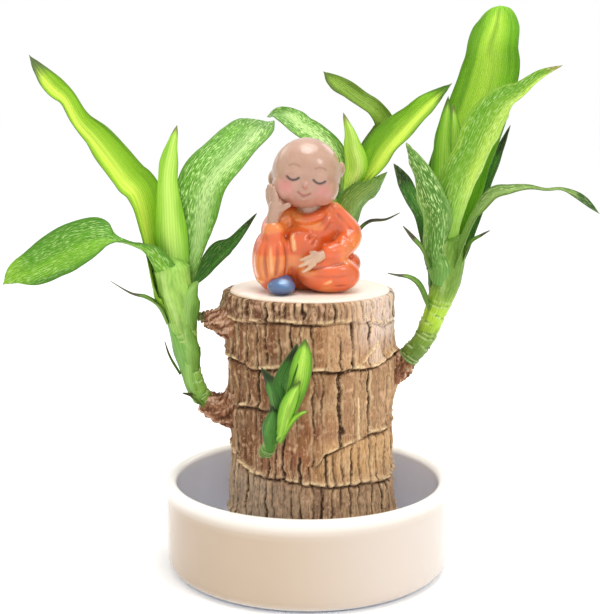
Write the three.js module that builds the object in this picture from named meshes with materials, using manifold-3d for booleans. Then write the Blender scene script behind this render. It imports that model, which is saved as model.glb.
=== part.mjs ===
// A Brazilian wood (Dracaena) stump that stands in a shallow round ceramic bowl. Four leafy shoots grow from the
// stump's side, a wax seal covers its cut top, and a small seated figurine of painted resin rests on the wax.
// Millimetres, +Z up, +X to the right and -Y to the front. The origin is the middle of the bowl's flat underside.

import * as THREE from "three";
import { mergeVertices } from "three/addons/utils/BufferGeometryUtils.js";
import Module from "manifold-3d";

const wasm = await Module();
wasm.setup();

// ---- Driving dimensions ----

const GAP = 0.4; // clearance kept between neighbouring solids
const SLIVER = 0.1; // detail smaller than this is dropped from a cut edge
const WELDS = [0.12, 0.06, 0.03, 0.01, 1e-3]; // corners closer together than this become one, coarsest first

const BOWL_RADIUS = 60;
const BOWL_HEIGHT = 38;
const BOWL_WALL = 5.2;
const BOWL_FLOOR = 5;
const BOWL_FOOT_ROUND = 5; // radius of the outside corner at the foot
const BOWL_DRAFT = 1; // how much narrower the wall is at its foot
const BOWL_INSIDE_ROUND = 7; // radius where the inside wall meets the floor

const STUMP_TOP = 117;
const STUMP_RADIUS = 33.4;
const STUMP_FOOT_SHIFT = 2.4; // the stump leans a little: how far right of the bowl's middle its foot stands
const STUMP_TOP_SHIFT = 0.9; // the same at its top
const WAX_THICKNESS = 1;
const WAX_MARGIN = 0.8; // bark left bare outside the wax
const SEAT = STUMP_TOP + WAX_THICKNESS; // height of the wax surface

const LEAF_THICKNESS = 0.8;
const THINNEST_TIP = 0.5; // a blade is never narrower than this
const TIGHTEST_FOLD = 1.4; // the smallest radius a blade curls to across its width
const HALF_TURN = Math.PI;

const COLOURS = {
  bowl: 0xe9e1d8,
  stump: 0x8d6543,
  wax: 0xf0e2cf,
  bud: 0x6b4a33,
  stem: 0x6f9a3a,
  leaf: 0x76b82a,
  darkLeaf: 0x3f7a2a,
  figurine: 0xe0662f,
};

// ---- Solids ----

// A closed three.js geometry as a manifold-3d solid. Corners closer together than the weld become one.
function solidOf(geometry, weld = WELDS.at(-1)) {
  const bare = geometry.clone();
  bare.deleteAttribute("normal");
  bare.deleteAttribute("uv");
  const merged = mergeVertices(bare, weld);
  const corners = merged.index.array;
  const kept = [];
  for (let i = 0; i < corners.length; i += 3) {
    const [a, b, c] = [corners[i], corners[i + 1], corners[i + 2]];
    if (a !== b && b !== c && c !== a) kept.push(a, b, c);
  }
  const vertProperties = merged.attributes.position.array;
  return new wasm.Manifold(new wasm.Mesh({ numProp: 3, vertProperties, triVerts: new Uint32Array(kept) }));
}

function geometryOf(solid) {
  const mesh = solid.getMesh();
  const geometry = new THREE.BufferGeometry();
  geometry.setAttribute("position", new THREE.BufferAttribute(mesh.vertProperties, 3));
  geometry.setIndex(new THREE.BufferAttribute(mesh.triVerts, 1));
  geometry.computeVertexNormals();
  return geometry;
}

function biggest(bodies) {
  return bodies.reduce((best, body) => (body.volume() > best.volume() ? body : best));
}

// The largest body of a solid, without the slivers that a cut leaves along its edges.
function largestBody(solid) {
  const rough = geometryOf(biggest(solid.simplify(SLIVER).decompose()));
  for (const weld of WELDS) {
    try {
      return biggest(solidOf(rough, weld).decompose());
    } catch (notClosed) {
      continue; // this weld pinched the skin, so the next, finer one is tried
    }
  }
  throw new Error("a cut left a skin that no weld closes");
}

function union(solids) {
  return solids.reduce((all, next) => all.add(next));
}

// A closed skin through rings of points that each run anticlockwise, seen from the last ring.
function loft(rings) {
  const count = rings[0].length;
  const points = rings.flat();
  const faces = [];
  for (let ring = 0; ring < rings.length - 1; ring += 1) {
    for (let i = 0; i < count; i += 1) {
      const a = ring * count + i;
      const b = ring * count + ((i + 1) % count);
      faces.push(a, b, b + count, a, b + count, a + count);
    }
  }
  const ends = [
    { ring: 0, turn: -1 },
    { ring: rings.length - 1, turn: 1 },
  ];
  for (const { ring, turn } of ends) {
    const middle = new THREE.Vector3();
    rings[ring].forEach((point) => middle.addScaledVector(point, 1 / count));
    points.push(middle);
    for (let i = 0; i < count; i += 1) {
      const a = ring * count + i;
      const b = ring * count + ((i + 1) % count);
      faces.push(points.length - 1, turn > 0 ? a : b, turn > 0 ? b : a);
    }
  }
  const geometry = new THREE.BufferGeometry().setFromPoints(points);
  geometry.setIndex(faces);
  return geometry;
}

// An ellipsoid given by its centre, its three half sizes and its turn in degrees about X, Y and Z.
function ellipsoid(centre, halves, turn = [0, 0, 0], detail = 12) {
  const geometry = new THREE.SphereGeometry(1, detail, Math.round(detail * 0.6));
  geometry.rotateX(HALF_TURN / 2);
  geometry.scale(...halves);
  const euler = new THREE.Euler(...turn.map(THREE.MathUtils.degToRad));
  geometry.applyQuaternion(new THREE.Quaternion().setFromEuler(euler));
  geometry.translate(...centre);
  return solidOf(geometry);
}

// A round limb through points, with a radius at each point, grown outwards by an allowance.
function limb(points, radii, sides = 10, steps = 6, grow = 0) {
  const curve = new THREE.CatmullRomCurve3(points.map((p) => new THREE.Vector3(...p)), false, "catmullrom");
  const rings = [];
  for (let step = 0; step <= steps; step += 1) {
    const share = step / steps;
    const centre = curve.getPoint(share);
    const along = curve.getTangent(share);
    const side = new THREE.Vector3(0, 1, 0).cross(along).normalize();
    const other = along.clone().cross(side);
    const radius = between(radii, share) + grow;
    if (step === 0) centre.addScaledVector(along, -grow);
    if (step === steps) centre.addScaledVector(along, grow);
    const ring = [];
    for (let i = 0; i < sides; i += 1) {
      const angle = (2 * HALF_TURN * i) / sides;
      const point = centre.clone().addScaledVector(side, radius * Math.cos(angle));
      ring.push(point.addScaledVector(other, radius * Math.sin(angle)));
    }
    rings.push(ring);
  }
  return solidOf(loft(rings));
}

// The value at a share of the way through evenly spaced numbers.
function between(values, share) {
  const at = share * (values.length - 1);
  const low = Math.min(Math.floor(at), values.length - 2);
  return values[low] + (values[low + 1] - values[low]) * (at - low);
}

// ---- Bowl ----

function arc(radius, height, size, from, to, steps = 3) {
  const points = [];
  for (let i = 0; i <= steps; i += 1) {
    const angle = THREE.MathUtils.degToRad(from + ((to - from) * i) / steps);
    points.push(new THREE.Vector2(radius + size * Math.cos(angle), height + size * Math.sin(angle)));
  }
  return points;
}

function bowlSolid() {
  const foot = BOWL_RADIUS - BOWL_DRAFT;
  const lip = BOWL_WALL / 2;
  const inside = foot - BOWL_WALL;
  const profile = [
    new THREE.Vector2(0, 0),
    ...arc(foot - BOWL_FOOT_ROUND, BOWL_FOOT_ROUND, BOWL_FOOT_ROUND, -90, 0),
    ...arc(BOWL_RADIUS - lip, BOWL_HEIGHT - lip, lip, 0, 180, 5),
    ...arc(inside - BOWL_INSIDE_ROUND, BOWL_FLOOR + BOWL_INSIDE_ROUND, BOWL_INSIDE_ROUND, 0, -90),
    new THREE.Vector2(0, BOWL_FLOOR),
  ];
  const geometry = new THREE.LatheGeometry(profile, 48);
  geometry.rotateX(HALF_TURN / 2);
  return solidOf(geometry);
}

// ---- Stump ----

// Heights of the ring scars, where the bark steps in.
const RING_SCARS = [28, 45, 62, 82, 103];
const SCAR_DEPTH = 0.9;
const BARK_PLATES = 12;
const PLATE_RELIEF = 0.45;

// Swellings of the bark where the shoots leave it: angle in degrees, height, size and how far they stand out.
const SWELLINGS = [
  { angle: 186, height: 69, size: 9, out: 3.5 },
  { angle: 357, height: 80, size: 9, out: 3 },
  { angle: 247, height: 58, size: 8, out: 1.2 },
  { angle: 68, height: 98, size: 9, out: 3 },
];

function stumpRadius(angle, height) {
  const waist = 0.9 * Math.cos((HALF_TURN * (height - BOWL_FLOOR)) / 56);
  const flare = 1.6 * Math.exp(-(height - BOWL_FLOOR) / 14);
  const plates = PLATE_RELIEF * Math.cos(BARK_PLATES * angle + height * 0.03);
  let radius = STUMP_RADIUS + waist + flare + plates;
  for (const scar of RING_SCARS) {
    radius -= SCAR_DEPTH * Math.exp(-(((height - scar) / 1.2) ** 2));
  }
  for (const swelling of SWELLINGS) {
    const turn = Math.cos(angle - THREE.MathUtils.degToRad(swelling.angle));
    const round = STUMP_RADIUS * Math.acos(THREE.MathUtils.clamp(turn, -1, 1));
    const away = Math.hypot(round, height - swelling.height) / swelling.size;
    radius += swelling.out * Math.exp(-(away ** 2));
  }
  return radius;
}

// The collars of dead bark that stand round the foot of each side shoot.
const COLLARS = [
  { points: [[-29, -5, 68], [-35, -7, 69], [-41, -9, 71.5]], radii: [10, 7, 4.4] },
  { points: [[31, 0, 82], [35, -1, 83.5], [39.5, -3, 87]], radii: [9, 7, 5] },
  { points: [[9, 30, 101], [10, 34, 102], [11, 38, 105]], radii: [8, 6, 4.4] },
  { points: [[-28, -5, 104], [-35, -7, 105], [-41, -8, 106.5]], radii: [12, 6.5, 3.2] },
];

function stumpShift(height) {
  return STUMP_FOOT_SHIFT + ((STUMP_TOP_SHIFT - STUMP_FOOT_SHIFT) * height) / STUMP_TOP;
}

function stumpSolid(grow = 0) {
  const heights = [BOWL_FLOOR - grow];
  const rows = 12;
  for (let row = 1; row < rows; row += 1) {
    heights.push(BOWL_FLOOR + ((STUMP_TOP - BOWL_FLOOR) * row) / rows);
  }
  for (const scar of RING_SCARS) heights.push(scar);
  heights.push(STUMP_TOP + grow);
  heights.sort((a, b) => a - b);
  const sides = 36;
  const rings = heights.map((height) => {
    const ring = [];
    for (let i = 0; i < sides; i += 1) {
      const angle = (2 * HALF_TURN * i) / sides;
      const radius = stumpRadius(angle, height) + grow;
      const x = stumpShift(height) + radius * Math.cos(angle);
      ring.push(new THREE.Vector3(x, radius * Math.sin(angle), height));
    }
    return ring;
  });
  const collars = COLLARS.map(({ points, radii }) => limb(points, radii, 9, 4, grow));
  return largestBody(union([solidOf(loft(rings)), ...collars]));
}

function waxSolid() {
  const rim = STUMP_RADIUS - WAX_MARGIN;
  const profile = [
    new THREE.Vector2(0, STUMP_TOP),
    new THREE.Vector2(rim, STUMP_TOP),
    new THREE.Vector2(rim - 0.2, STUMP_TOP + WAX_THICKNESS * 0.7),
    new THREE.Vector2(rim - 1, SEAT),
    new THREE.Vector2(0, SEAT),
  ];
  const geometry = new THREE.LatheGeometry(profile, 36);
  geometry.rotateX(HALF_TURN / 2);
  geometry.translate(STUMP_TOP_SHIFT, 0, 0);
  return solidOf(geometry);
}

// The tip of a side shoot that dried up, high on the left.
const DRIED_BUD = { points: [[-40, -8, 106.5], [-43.5, -9, 107.5], [-46, -9, 108]], radii: [2.6, 2.2, 1.2] };

// ---- Shoots ----

// Each stem is a run of points on its axis with a radius at each. It widens where leaf feet clasp it in layers.
const STEMS = {
  left_stem: {
    points: [[-41, -9, 72], [-44, -10, 76], [-47, -11, 84], [-48.5, -11, 94], [-51, -10, 106], [-53.5, -9, 117],
      [-55, -9, 127]],
    radii: [3.6, 3.4, 3.5, 4, 5, 6, 5],
  },
  right_stem: {
    points: [[39, -2, 86], [43, -4, 91], [48, -5, 98], [52, -6, 108], [55.5, -7, 119], [57, -7, 129], [57.5, -6, 138]],
    radii: [4.4, 4.2, 4, 4.2, 5.4, 6.2, 5],
  },
  back_stem: {
    points: [[10, 37, 104], [13, 40, 111], [15, 40, 120], [16, 38, 130], [18, 35, 140]],
    radii: [3.6, 3.4, 3.6, 4.4, 4.6],
  },
  front_stem: {
    points: [[-17, -33, 57], [-15, -37, 61], [-13, -40, 68], [-10, -42, 75]],
    radii: [2.4, 2.4, 2, 1.2],
  },
};

// Each leaf is a run of stations from its foot to its tip: x, y, z and the distance between its edges. Its upper side
// looks along the faces, spread evenly from foot to tip. Across, it is an arc that goes from the first wrap to the
// second, in degrees.
const LEAVES = {
  left_young_leaf: {
    stations: [[-55, -7, 117, 5], [-56, -11, 136, 11], [-56, -14, 151, 10.5], [-56, -16, 164, 8],
      [-54, -17, 175, 5.5], [-51, -18, 185, 0.5]],
    wrap: [170, 90], faces: [[0.2, 1, 0.1], [0.1, 1, 0]],
  },
  left_tall_leaf: {
    stations: [[-62, -6, 125, 6.5], [-67, -4, 154, 16.5], [-74, -3, 164, 16], [-84, -4, 178, 13],
      [-91, -5, 186, 9], [-96, -6, 195, 7.5], [-100, -8, 199, 9], [-104, -10, 204, 7], [-109, -12, 212, 0.5]],
    wrap: [120, 40], faces: [[0.9, -0.6, 0.3], [0.7, -1, 0.2], [0.4, -1, 0.2]],
  },
  left_broad_leaf: {
    stations: [[-49, -5, 119, 5], [-45, -8, 138, 14], [-43, -10, 153, 20], [-40, -9, 163, 20.5],
      [-33, -4, 171, 20], [-25, 4, 179, 20], [-21, 13, 184, 16.5], [-17, 22, 185, 6]],
    wrap: [130, 40], faces: [[-0.8, -0.5, 0.2], [-0.3, -1, 0.2], [-0.2, -0.8, 0.6], [0, -0.4, 1]],
  },
  left_drooping_leaf: {
    stations: [[-57, -9, 109, 8], [-59, -12, 123, 13], [-64, -14, 134, 10], [-70, -17, 138, 4],
      [-76, -19, 140, 7.5], [-81, -20, 141, 18], [-91, -20, 138, 19.5], [-99, -18, 134, 19],
      [-109, -16, 129, 15], [-117, -14, 126, 9], [-123, -12, 121, 0.5]],
    wrap: [170, 150, 60, 30, 30], faces: [[1, 0.5, 0.3], [0.5, 0.3, 1], [0, -0.9, 0.5], [0, -1, 0.3]],
  },
  left_dark_leaf: {
    stations: [[-48, -3, 119, 3], [-42, 0, 125, 8], [-36, 3, 132, 10], [-31, 5, 136, 5.5], [-26, 7, 142, 3],
      [-21, 8, 148, 0.5]],
    wrap: [90, 50], faces: [[-0.6, -1, 0.3], [-0.6, -1, 0.3]], dark: true,
  },
  left_sheath_leaf: {
    stations: [[-49, -14, 101, 7], [-49, -15, 109, 9.5], [-48, -15, 116, 8.5], [-46, -14, 120, 4], [-44, -14, 123, 1]],
    wrap: [140, 90], faces: [[0, 1, 0], [0, 1, 0]],
  },
  left_clasping_leaf: {
    stations: [[-46, -13, 76, 2], [-47.5, -14, 81, 5.5], [-48, -15, 89, 7.5], [-48, -15, 96, 7.5],
      [-49, -15, 102, 5], [-49, -15, 107, 1]],
    wrap: [120, 120], faces: [[0, 1, 0], [0, 1, 0]],
  },
  left_low_leaf: {
    stations: [[-57, -12, 105, 3], [-60, -13, 112, 4], [-65, -14, 116, 3.5], [-71, -15, 118, 2], [-79, -15, 123, 0.5]],
    wrap: [120, 60], faces: [[0.8, 0, 0.6], [0.3, 0, 1]],
  },
  left_outer_bract: {
    stations: [[-52, -12, 84, 1.4], [-56, -12, 91, 1.6], [-58, -13, 98, 0.5]],
    wrap: [80, 60], faces: [[1, -0.4, 0.5], [1, -0.4, 0.5]], dark: true,
  },
  left_inner_bract: {
    stations: [[-43, -10, 77, 1.6], [-44, -10, 83, 1.8], [-44.5, -10, 89, 1.5], [-44, -9, 95, 0.5]],
    wrap: [80, 60], faces: [[-0.6, -1, 0], [-0.6, -1, 0]], dark: true,
  },
  left_foot_leaf: {
    stations: [[-42, -13, 71, 3], [-46, -14, 75, 3], [-51, -15, 77, 0.5]],
    wrap: [90, 50], faces: [[-0.4, -0.6, 1], [-0.4, -0.6, 1]],
  },

  right_rolled_leaf: {
    stations: [[57, -4, 138, 5], [57.5, -5, 159, 6], [59, -6, 171, 5], [59, -6, 181, 4.5], [58, -5, 193, 0.5]],
    wrap: [150, 120], faces: [[0.2, -1, 0], [0.2, -1, 0]],
  },
  right_tall_leaf: {
    stations: [[56, 0, 133, 8], [59, 3, 151, 20], [62, 6, 166, 24], [67, 8, 181, 25], [71, 8, 194, 24.5],
      [74, 7, 206, 24], [75, 6, 216, 20.5], [77, 7, 223, 17], [78, 9, 229, 11], [78, 11, 232, 3.5]],
    wrap: [120, 40], faces: [[-0.2, -1, 0.2], [-0.1, -1, 0.2], [0, -1, 0.4]],
  },
  right_pointed_leaf: {
    stations: [[56, -9, 134, 8], [58, -13, 150, 13.5], [61, -16, 163, 16.5], [66, -18, 174, 16.5],
      [70, -18, 184, 17.5], [76, -17, 193, 13.5], [83, -15, 198, 8], [91, -13, 204, 5], [100, -10, 208, 0.5]],
    wrap: [140, 50], faces: [[-0.2, 1, 0.2], [-0.4, 1, 0.3], [-0.4, 0.8, 0.6]],
  },
  right_upright_leaf: {
    stations: [[54, -2, 133, 6], [55, 0, 154, 9.5], [55, 2, 167, 11], [55, 3, 179, 7.5], [56, 3, 188, 4.5],
      [57, 4, 196, 0.5]],
    wrap: [120, 60], faces: [[0.3, -1, 0.1], [0.2, -1, 0.1]],
  },
  right_spotted_leaf: {
    stations: [[51, -12, 135, 8], [51, -16, 148, 11.5], [48, -20, 157, 11], [44, -21, 166, 8.5], [40, -19, 173, 6.5],
      [39, -14, 178, 2]],
    wrap: [130, 60], faces: [[0.3, 1, 0.2], [0.2, 1, 0.5], [0.2, 0.6, 1]],
  },
  right_shaded_leaf: {
    stations: [[50, 2, 131, 5], [47, 6, 146, 7.5], [43, 10, 154, 7], [40, 13, 161, 6.5], [36, 15, 168, 1]],
    wrap: [100, 50], faces: [[0.7, -1, 0.2], [0.5, -1, 0.4]], dark: true,
  },
  right_arching_leaf: {
    stations: [[59, -11, 129, 5], [65, -17, 147, 4], [68, -19, 152, 5.5], [73, -21, 158, 7], [79, -22, 160, 5],
      [86, -22, 161, 3], [93, -21, 160, 2], [100, -19, 160, 2], [108, -17, 156, 4], [116, -14, 150, 0.5]],
    wrap: [110, 60], faces: [[-0.7, -0.5, 0.7], [-0.3, -0.8, 1], [0, -0.6, 1], [0.3, -1, 0.6]],
  },
  right_shaded_outer_leaf: {
    stations: [[62, 1, 128, 5], [71, 6, 152, 7], [76, 10, 165, 6], [80, 12, 174, 4], [84, 13, 184, 0.5]],
    wrap: [110, 60], faces: [[-0.8, -0.8, 0.3], [-0.8, -0.8, 0.3]], dark: true,
  },
  right_dried_tip_leaf: {
    stations: [[49, -11, 128, 2.5], [46, -12, 135, 3], [42, -13, 140, 3], [38, -13, 145, 0.5]],
    wrap: [100, 60], faces: [[0.6, -0.4, 0.8], [0.3, -0.6, 0.8]], dark: true,
  },
  right_low_outer_leaf: {
    stations: [[61, -8, 125, 3.5], [65, -10, 137, 3], [70, -11, 141, 2], [73, -11, 143, 0.5]],
    wrap: [110, 60], faces: [[-0.8, -0.3, 0.6], [-0.3, -0.3, 1]],
  },
  right_low_inner_leaf: {
    stations: [[49, -10, 111, 4], [45, -12, 120, 4.5], [41, -13, 124, 3], [36, -13, 125, 1.5], [32, -13, 126, 0.5]],
    wrap: [110, 60], faces: [[0.8, -0.4, 0.5], [0.1, -0.4, 1]],
  },

  back_young_leaf: {
    stations: [[18, 31, 140, 5], [19, 27, 157, 7.5], [21, 25, 166, 10.5], [19, 23, 174, 7.5], [18, 22, 180, 4.5],
      [15, 21, 189, 0.5]],
    wrap: [150, 80], faces: [[0, 1, 0.2], [0, 1, 0]],
  },
  back_long_leaf: {
    stations: [[20, 34, 141, 5], [24, 31, 159, 10.5], [28, 29, 166, 13], [33, 28, 174, 15.5], [39, 27, 181, 14],
      [45, 26, 187, 11], [51, 26, 193, 8.5], [61, 26, 201, 0.5]],
    wrap: [120, 50], faces: [[-0.6, -0.8, 0.4], [-0.5, -1, 0.4]],
  },
  back_spotted_leaf: {
    stations: [[16, 36, 139, 5], [14, 34, 160, 8.5], [11, 34, 171, 11], [4, 38, 178, 11], [-3, 44, 182, 12.5],
      [-8, 51, 186, 13], [-13, 58, 188, 8], [-18, 62, 186, 2]],
    wrap: [120, 40], faces: [[0.6, -0.8, 0.3], [0.4, -0.9, 0.4], [0.2, -0.7, 0.8]],
  },
  back_arching_leaf: {
    stations: [[19, 39, 137, 5], [21, 42, 155, 6.5], [27, 45, 171, 8], [34, 46, 182, 9], [30, 45, 189, 8.5],
      [24, 44, 193, 9], [17, 42, 198, 9], [11, 40, 202, 6.5], [7, 39, 206, 0.5]],
    wrap: [110, 50], faces: [[-0.6, -0.8, 0.2], [-0.6, -0.9, 0.1], [0.3, -1, 0.6], [0.4, -1, 0.5]],
  },
  back_sheath_leaf: {
    stations: [[16, 33, 127, 4], [17, 29, 136, 8], [19, 27, 147, 13], [23, 26, 153, 12.5], [28, 25, 157, 8.5],
      [34, 24, 164, 0.5]],
    wrap: [150, 70], faces: [[-0.3, 1, 0.2], [-0.5, 1, 0.5]],
  },
  back_shaded_leaf: {
    stations: [[17, 33, 129, 4], [15, 30, 137, 7], [13, 28.5, 142, 7], [10, 27, 148, 1]],
    wrap: [130, 70], faces: [[0.3, 1, 0.2], [0.3, 1, 0.2]], dark: true,
  },
  back_low_leaf: {
    stations: [[17, 35, 125, 3], [22, 31, 137, 2.8], [27, 30, 142, 2.2], [34, 29, 143, 1.6], [40, 29, 146, 0.5]],
    wrap: [110, 60], faces: [[-0.8, -0.4, 0.5], [-0.2, -0.5, 1]],
  },
  back_rear_leaf: {
    stations: [[15, 44, 119, 5], [16, 53, 141, 11], [15, 64, 156, 13], [12, 76, 160, 11], [9, 87, 156, 1]],
    wrap: [130, 50], faces: [[0, -1, 0.4], [0, -0.6, 1], [0, 0, 1]],
  },

  front_light_leaf: {
    stations: [[-5, -44, 80, 3], [-2, -46, 89, 5], [-1.5, -47, 95, 6.5], [-1, -47, 100, 5], [-1, -46, 106, 0.5]],
    wrap: [110, 60], faces: [[0.2, -1, 0], [0.2, -1, 0]],
  },
  front_shaded_leaf: {
    stations: [[-9, -43, 77, 3], [-8.5, -45, 84, 5], [-7.5, -46.5, 90, 5.5], [-5.5, -46.5, 97, 4], [-4, -45.5, 104, 0.5]],
    wrap: [110, 60], faces: [[-0.2, -1, 0.1], [-0.3, -1, 0.1]], dark: true,
  },
  front_left_leaf: {
    stations: [[-12, -42, 73, 3], [-12, -44.5, 82, 5], [-14, -45, 88, 4], [-18, -43, 94, 0.5]],
    wrap: [120, 70], faces: [[0.4, 1, 0], [0.5, 1, 0]],
  },
  front_right_leaf: {
    stations: [[-9, -43, 69, 2.5], [-7, -46.5, 77, 4], [-5, -48, 84, 4], [-2, -48, 89, 0.5]],
    wrap: [120, 70], faces: [[-0.4, 1, 0], [-0.5, 1, 0]],
  },
  front_sheath_leaf: {
    stations: [[-15, -39, 59, 3], [-14.5, -42.5, 66, 7], [-14, -44.5, 71, 7.5], [-13.5, -46, 76, 4], [-14, -46, 80, 0.5]],
    wrap: [130, 80], faces: [[0, 1, 0], [0, 1, 0]], dark: true,
  },
  front_low_leaf: {
    stations: [[-11, -43, 64, 2], [-6, -45, 73, 2.4], [-3, -45, 76, 1.8], [0, -44, 77, 0.5]],
    wrap: [90, 60], faces: [[-0.6, -0.8, 0.6], [-0.2, -0.8, 0.6]],
  },
};

// The value at a share of the way along evenly spaced numbers, on a smooth curve through them.
function smooth(values, share) {
  const at = share * (values.length - 1);
  const low = Math.min(Math.floor(at), values.length - 2);
  const b = values[low];
  const c = values[low + 1];
  const a = low > 0 ? values[low - 1] : 2 * b - c;
  const d = low + 2 < values.length ? values[low + 2] : 2 * c - b;
  const t = at - low;
  return b + 0.5 * t * (c - a + t * (2 * a - 5 * b + 4 * c - d + t * (3 * (b - c) + d - a)));
}

function vectorAt(rows, share) {
  const parts = [0, 1, 2].map((axis) => smooth(rows.map((row) => row[axis]), share));
  return new THREE.Vector3(...parts);
}

function leafSolid({ stations, wrap, faces }, grow = 0) {
  const widest = Math.max(...stations.map((station) => station[3]));
  const rows = Math.max(5, Math.round(stations.length * 1.2));
  const columns = widest > 6 ? 4 : 2;
  const half = LEAF_THICKNESS / 2 + grow;
  const rings = [];
  for (let row = 0; row <= rows; row += 1) {
    const share = row / rows;
    const centre = vectorAt(stations, share);
    const ahead = vectorAt(stations, Math.min(1, share + 0.02));
    const along = ahead.sub(vectorAt(stations, Math.max(0, share - 0.02))).normalize();
    if (row === 0) centre.addScaledVector(along, -grow);
    if (row === rows) centre.addScaledVector(along, grow);
    const up = vectorAt(faces, share);
    up.addScaledVector(along, -up.dot(along)).normalize();
    const side = along.clone().cross(up);
    const width = Math.max(THINNEST_TIP, smooth(stations.map((station) => station[3]), share));
    const bend = THREE.MathUtils.degToRad(between(wrap, share)) / 2;
    const radius = Math.max(TIGHTEST_FOLD, width / 2 / Math.sin(Math.min(bend, HALF_TURN / 2)));
    const reach = Math.min(bend, Math.asin(Math.min(1, width / 2 / radius)) + 0.01) + grow / radius;
    const upper = [];
    const lower = [];
    for (let column = 0; column <= columns; column += 1) {
      const angle = ((2 * column) / columns - 1) * reach;
      const out = up.clone().multiplyScalar(Math.cos(angle)).addScaledVector(side, -Math.sin(angle));
      const point = centre.clone().addScaledVector(side, radius * Math.sin(angle));
      point.addScaledVector(up, radius * (1 - Math.cos(angle)));
      upper.push(point.clone().addScaledVector(out, half));
      lower.unshift(point.addScaledVector(out, -half));
    }
    rings.push([...upper, ...lower]);
  }
  return solidOf(loft(rings));
}

// ---- Figurine ----

// A seated child monk: one foot down with its knee raised, the other leg folded on the seat, a cheek resting on a hand.
function figurineSolid() {
  const parts = [
    ellipsoid([2, -1, SEAT + 11], [17, 12, 13]), // seat and belly
    ellipsoid([2.5, -2, SEAT + 25], [12.5, 9.5, 12]), // chest and shoulders
    ellipsoid([-14, -11.5, SEAT + 13], [8, 8, 12.5], [0, 4, 0]), // raised knee
    ellipsoid([-17, -4, SEAT + 13], [6, 8, 11.5], [0, 4, 0], 10), // side of the robe
    ellipsoid([8, -12, SEAT + 8], [13.5, 8.5, 8.5], [0, 6, 0]), // folded leg
    ellipsoid([-3, -8, SEAT + 16], [11, 8, 14], [0, 0, 0], 10), // lap
    limb([[-5, -2, SEAT + 31], [-13, -6, SEAT + 27], [-14, -12, SEAT + 23]], [4.6, 5, 4.4], 8, 4),
    limb([[-13, -13, SEAT + 21], [-14, -13, SEAT + 29], [-12.5, -12, SEAT + 38]], [4, 3, 2.6], 8, 4),
    limb([[10, -3, SEAT + 31], [17, -6, SEAT + 22], [12, -13, SEAT + 17]], [5, 5.4, 4.4], 8, 4),
    ellipsoid([5.5, -16.5, SEAT + 16.5], [5, 3.2, 2.8], [0, -12, 0], 10), // hand
    ellipsoid([-10.5, -18, SEAT + 3.5], [5.8, 5.6, 3.5], [0, 0, 0], 10), // shoe
    ellipsoid([-0.5, -6, SEAT + 47.5], [14.2, 13.4, 14.6], [-4, 8, 0], 16), // head
    ellipsoid([-14.4, -4, SEAT + 44], [1.8, 2.4, 3.4], [0, 8, 0], 8),
    ellipsoid([13.6, -4, SEAT + 46], [1.8, 2.4, 3.4], [0, 8, 0], 8),
  ];
  return largestBody(union(parts).trimByPlane([0, 0, 1], SEAT));
}

// ---- Assembly ----

const made = []; // every finished piece, with the room that later pieces must leave round it

function piece(name, solid, colour, room = null) {
  const material = new THREE.MeshStandardMaterial({ color: colour, roughness: 0.6, metalness: 0 });
  const mesh = new THREE.Mesh(geometryOf(solid), material);
  mesh.name = name;
  made.push({ room: room ?? solid });
  return mesh;
}

// A solid less the room that the pieces made before it need.
function trimmed(solid) {
  const cut = made.reduce((rest, earlier) => rest.subtract(earlier.room), solid);
  return largestBody(cut);
}

const plant = new THREE.Group();
plant.name = "potted_brazilian_wood";
plant.add(piece("bowl", bowlSolid(), COLOURS.bowl));
plant.add(piece("stump", stumpSolid(), COLOURS.stump, stumpSolid(GAP)));
plant.add(piece("wax_seal", waxSolid(), COLOURS.wax));
plant.add(piece("figurine", figurineSolid(), COLOURS.figurine));
const bud = limb(DRIED_BUD.points, DRIED_BUD.radii, 8, 4);
plant.add(piece("dried_bud", trimmed(bud), COLOURS.bud));
for (const [name, { points, radii }] of Object.entries(STEMS)) {
  const room = limb(points, radii, 8, 8, GAP);
  plant.add(piece(name, trimmed(limb(points, radii, 8, 8)), COLOURS.stem, room));
}
for (const [name, leaf] of Object.entries(LEAVES)) {
  const colour = leaf.dark ? COLOURS.darkLeaf : COLOURS.leaf;
  plant.add(piece(name, trimmed(leafSolid(leaf)), colour, leafSolid(leaf, GAP)));
}

export default plant;
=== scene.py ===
"""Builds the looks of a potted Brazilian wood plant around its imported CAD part.

A stump with four leafy side shoots stands in a shallow glazed bowl. Its cut top is sealed with wax and carries a small
seated figurine of painted resin. Lengths in the tables below are millimetres in the part's frame: +X right, -Y to the
front, +Z up, with the origin in the middle of the bowl's underside.
"""

import math

import bpy
import numpy as np
from bpy.props import FloatProperty, FloatVectorProperty, PointerProperty
from bpy.types import Operator, Panel, PropertyGroup
from mathutils import Euler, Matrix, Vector


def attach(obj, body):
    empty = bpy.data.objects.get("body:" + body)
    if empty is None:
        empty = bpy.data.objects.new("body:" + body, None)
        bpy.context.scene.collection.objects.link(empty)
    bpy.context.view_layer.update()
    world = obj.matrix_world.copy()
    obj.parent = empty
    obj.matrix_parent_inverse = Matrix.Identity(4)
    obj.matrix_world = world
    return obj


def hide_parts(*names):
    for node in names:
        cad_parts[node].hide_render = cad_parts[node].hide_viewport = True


bl_info = {
    "name": "Potted Brazilian wood",
    "version": (1, 0, 0),
    "blender": (4, 5, 0),
    "location": "3D View > Sidebar > Plant",
    "description": "Builds a Brazilian wood stump with leafy shoots in a glazed bowl",
    "category": "Add Mesh",
}

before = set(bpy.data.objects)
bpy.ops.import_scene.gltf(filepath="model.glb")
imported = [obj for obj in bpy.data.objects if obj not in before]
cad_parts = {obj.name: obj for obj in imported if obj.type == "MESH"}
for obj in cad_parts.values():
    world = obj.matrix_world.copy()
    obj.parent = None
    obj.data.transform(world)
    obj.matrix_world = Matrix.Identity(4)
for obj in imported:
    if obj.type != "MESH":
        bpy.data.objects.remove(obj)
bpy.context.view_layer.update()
MM = 0.001
STUMP_TOP = 117.0


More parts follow.
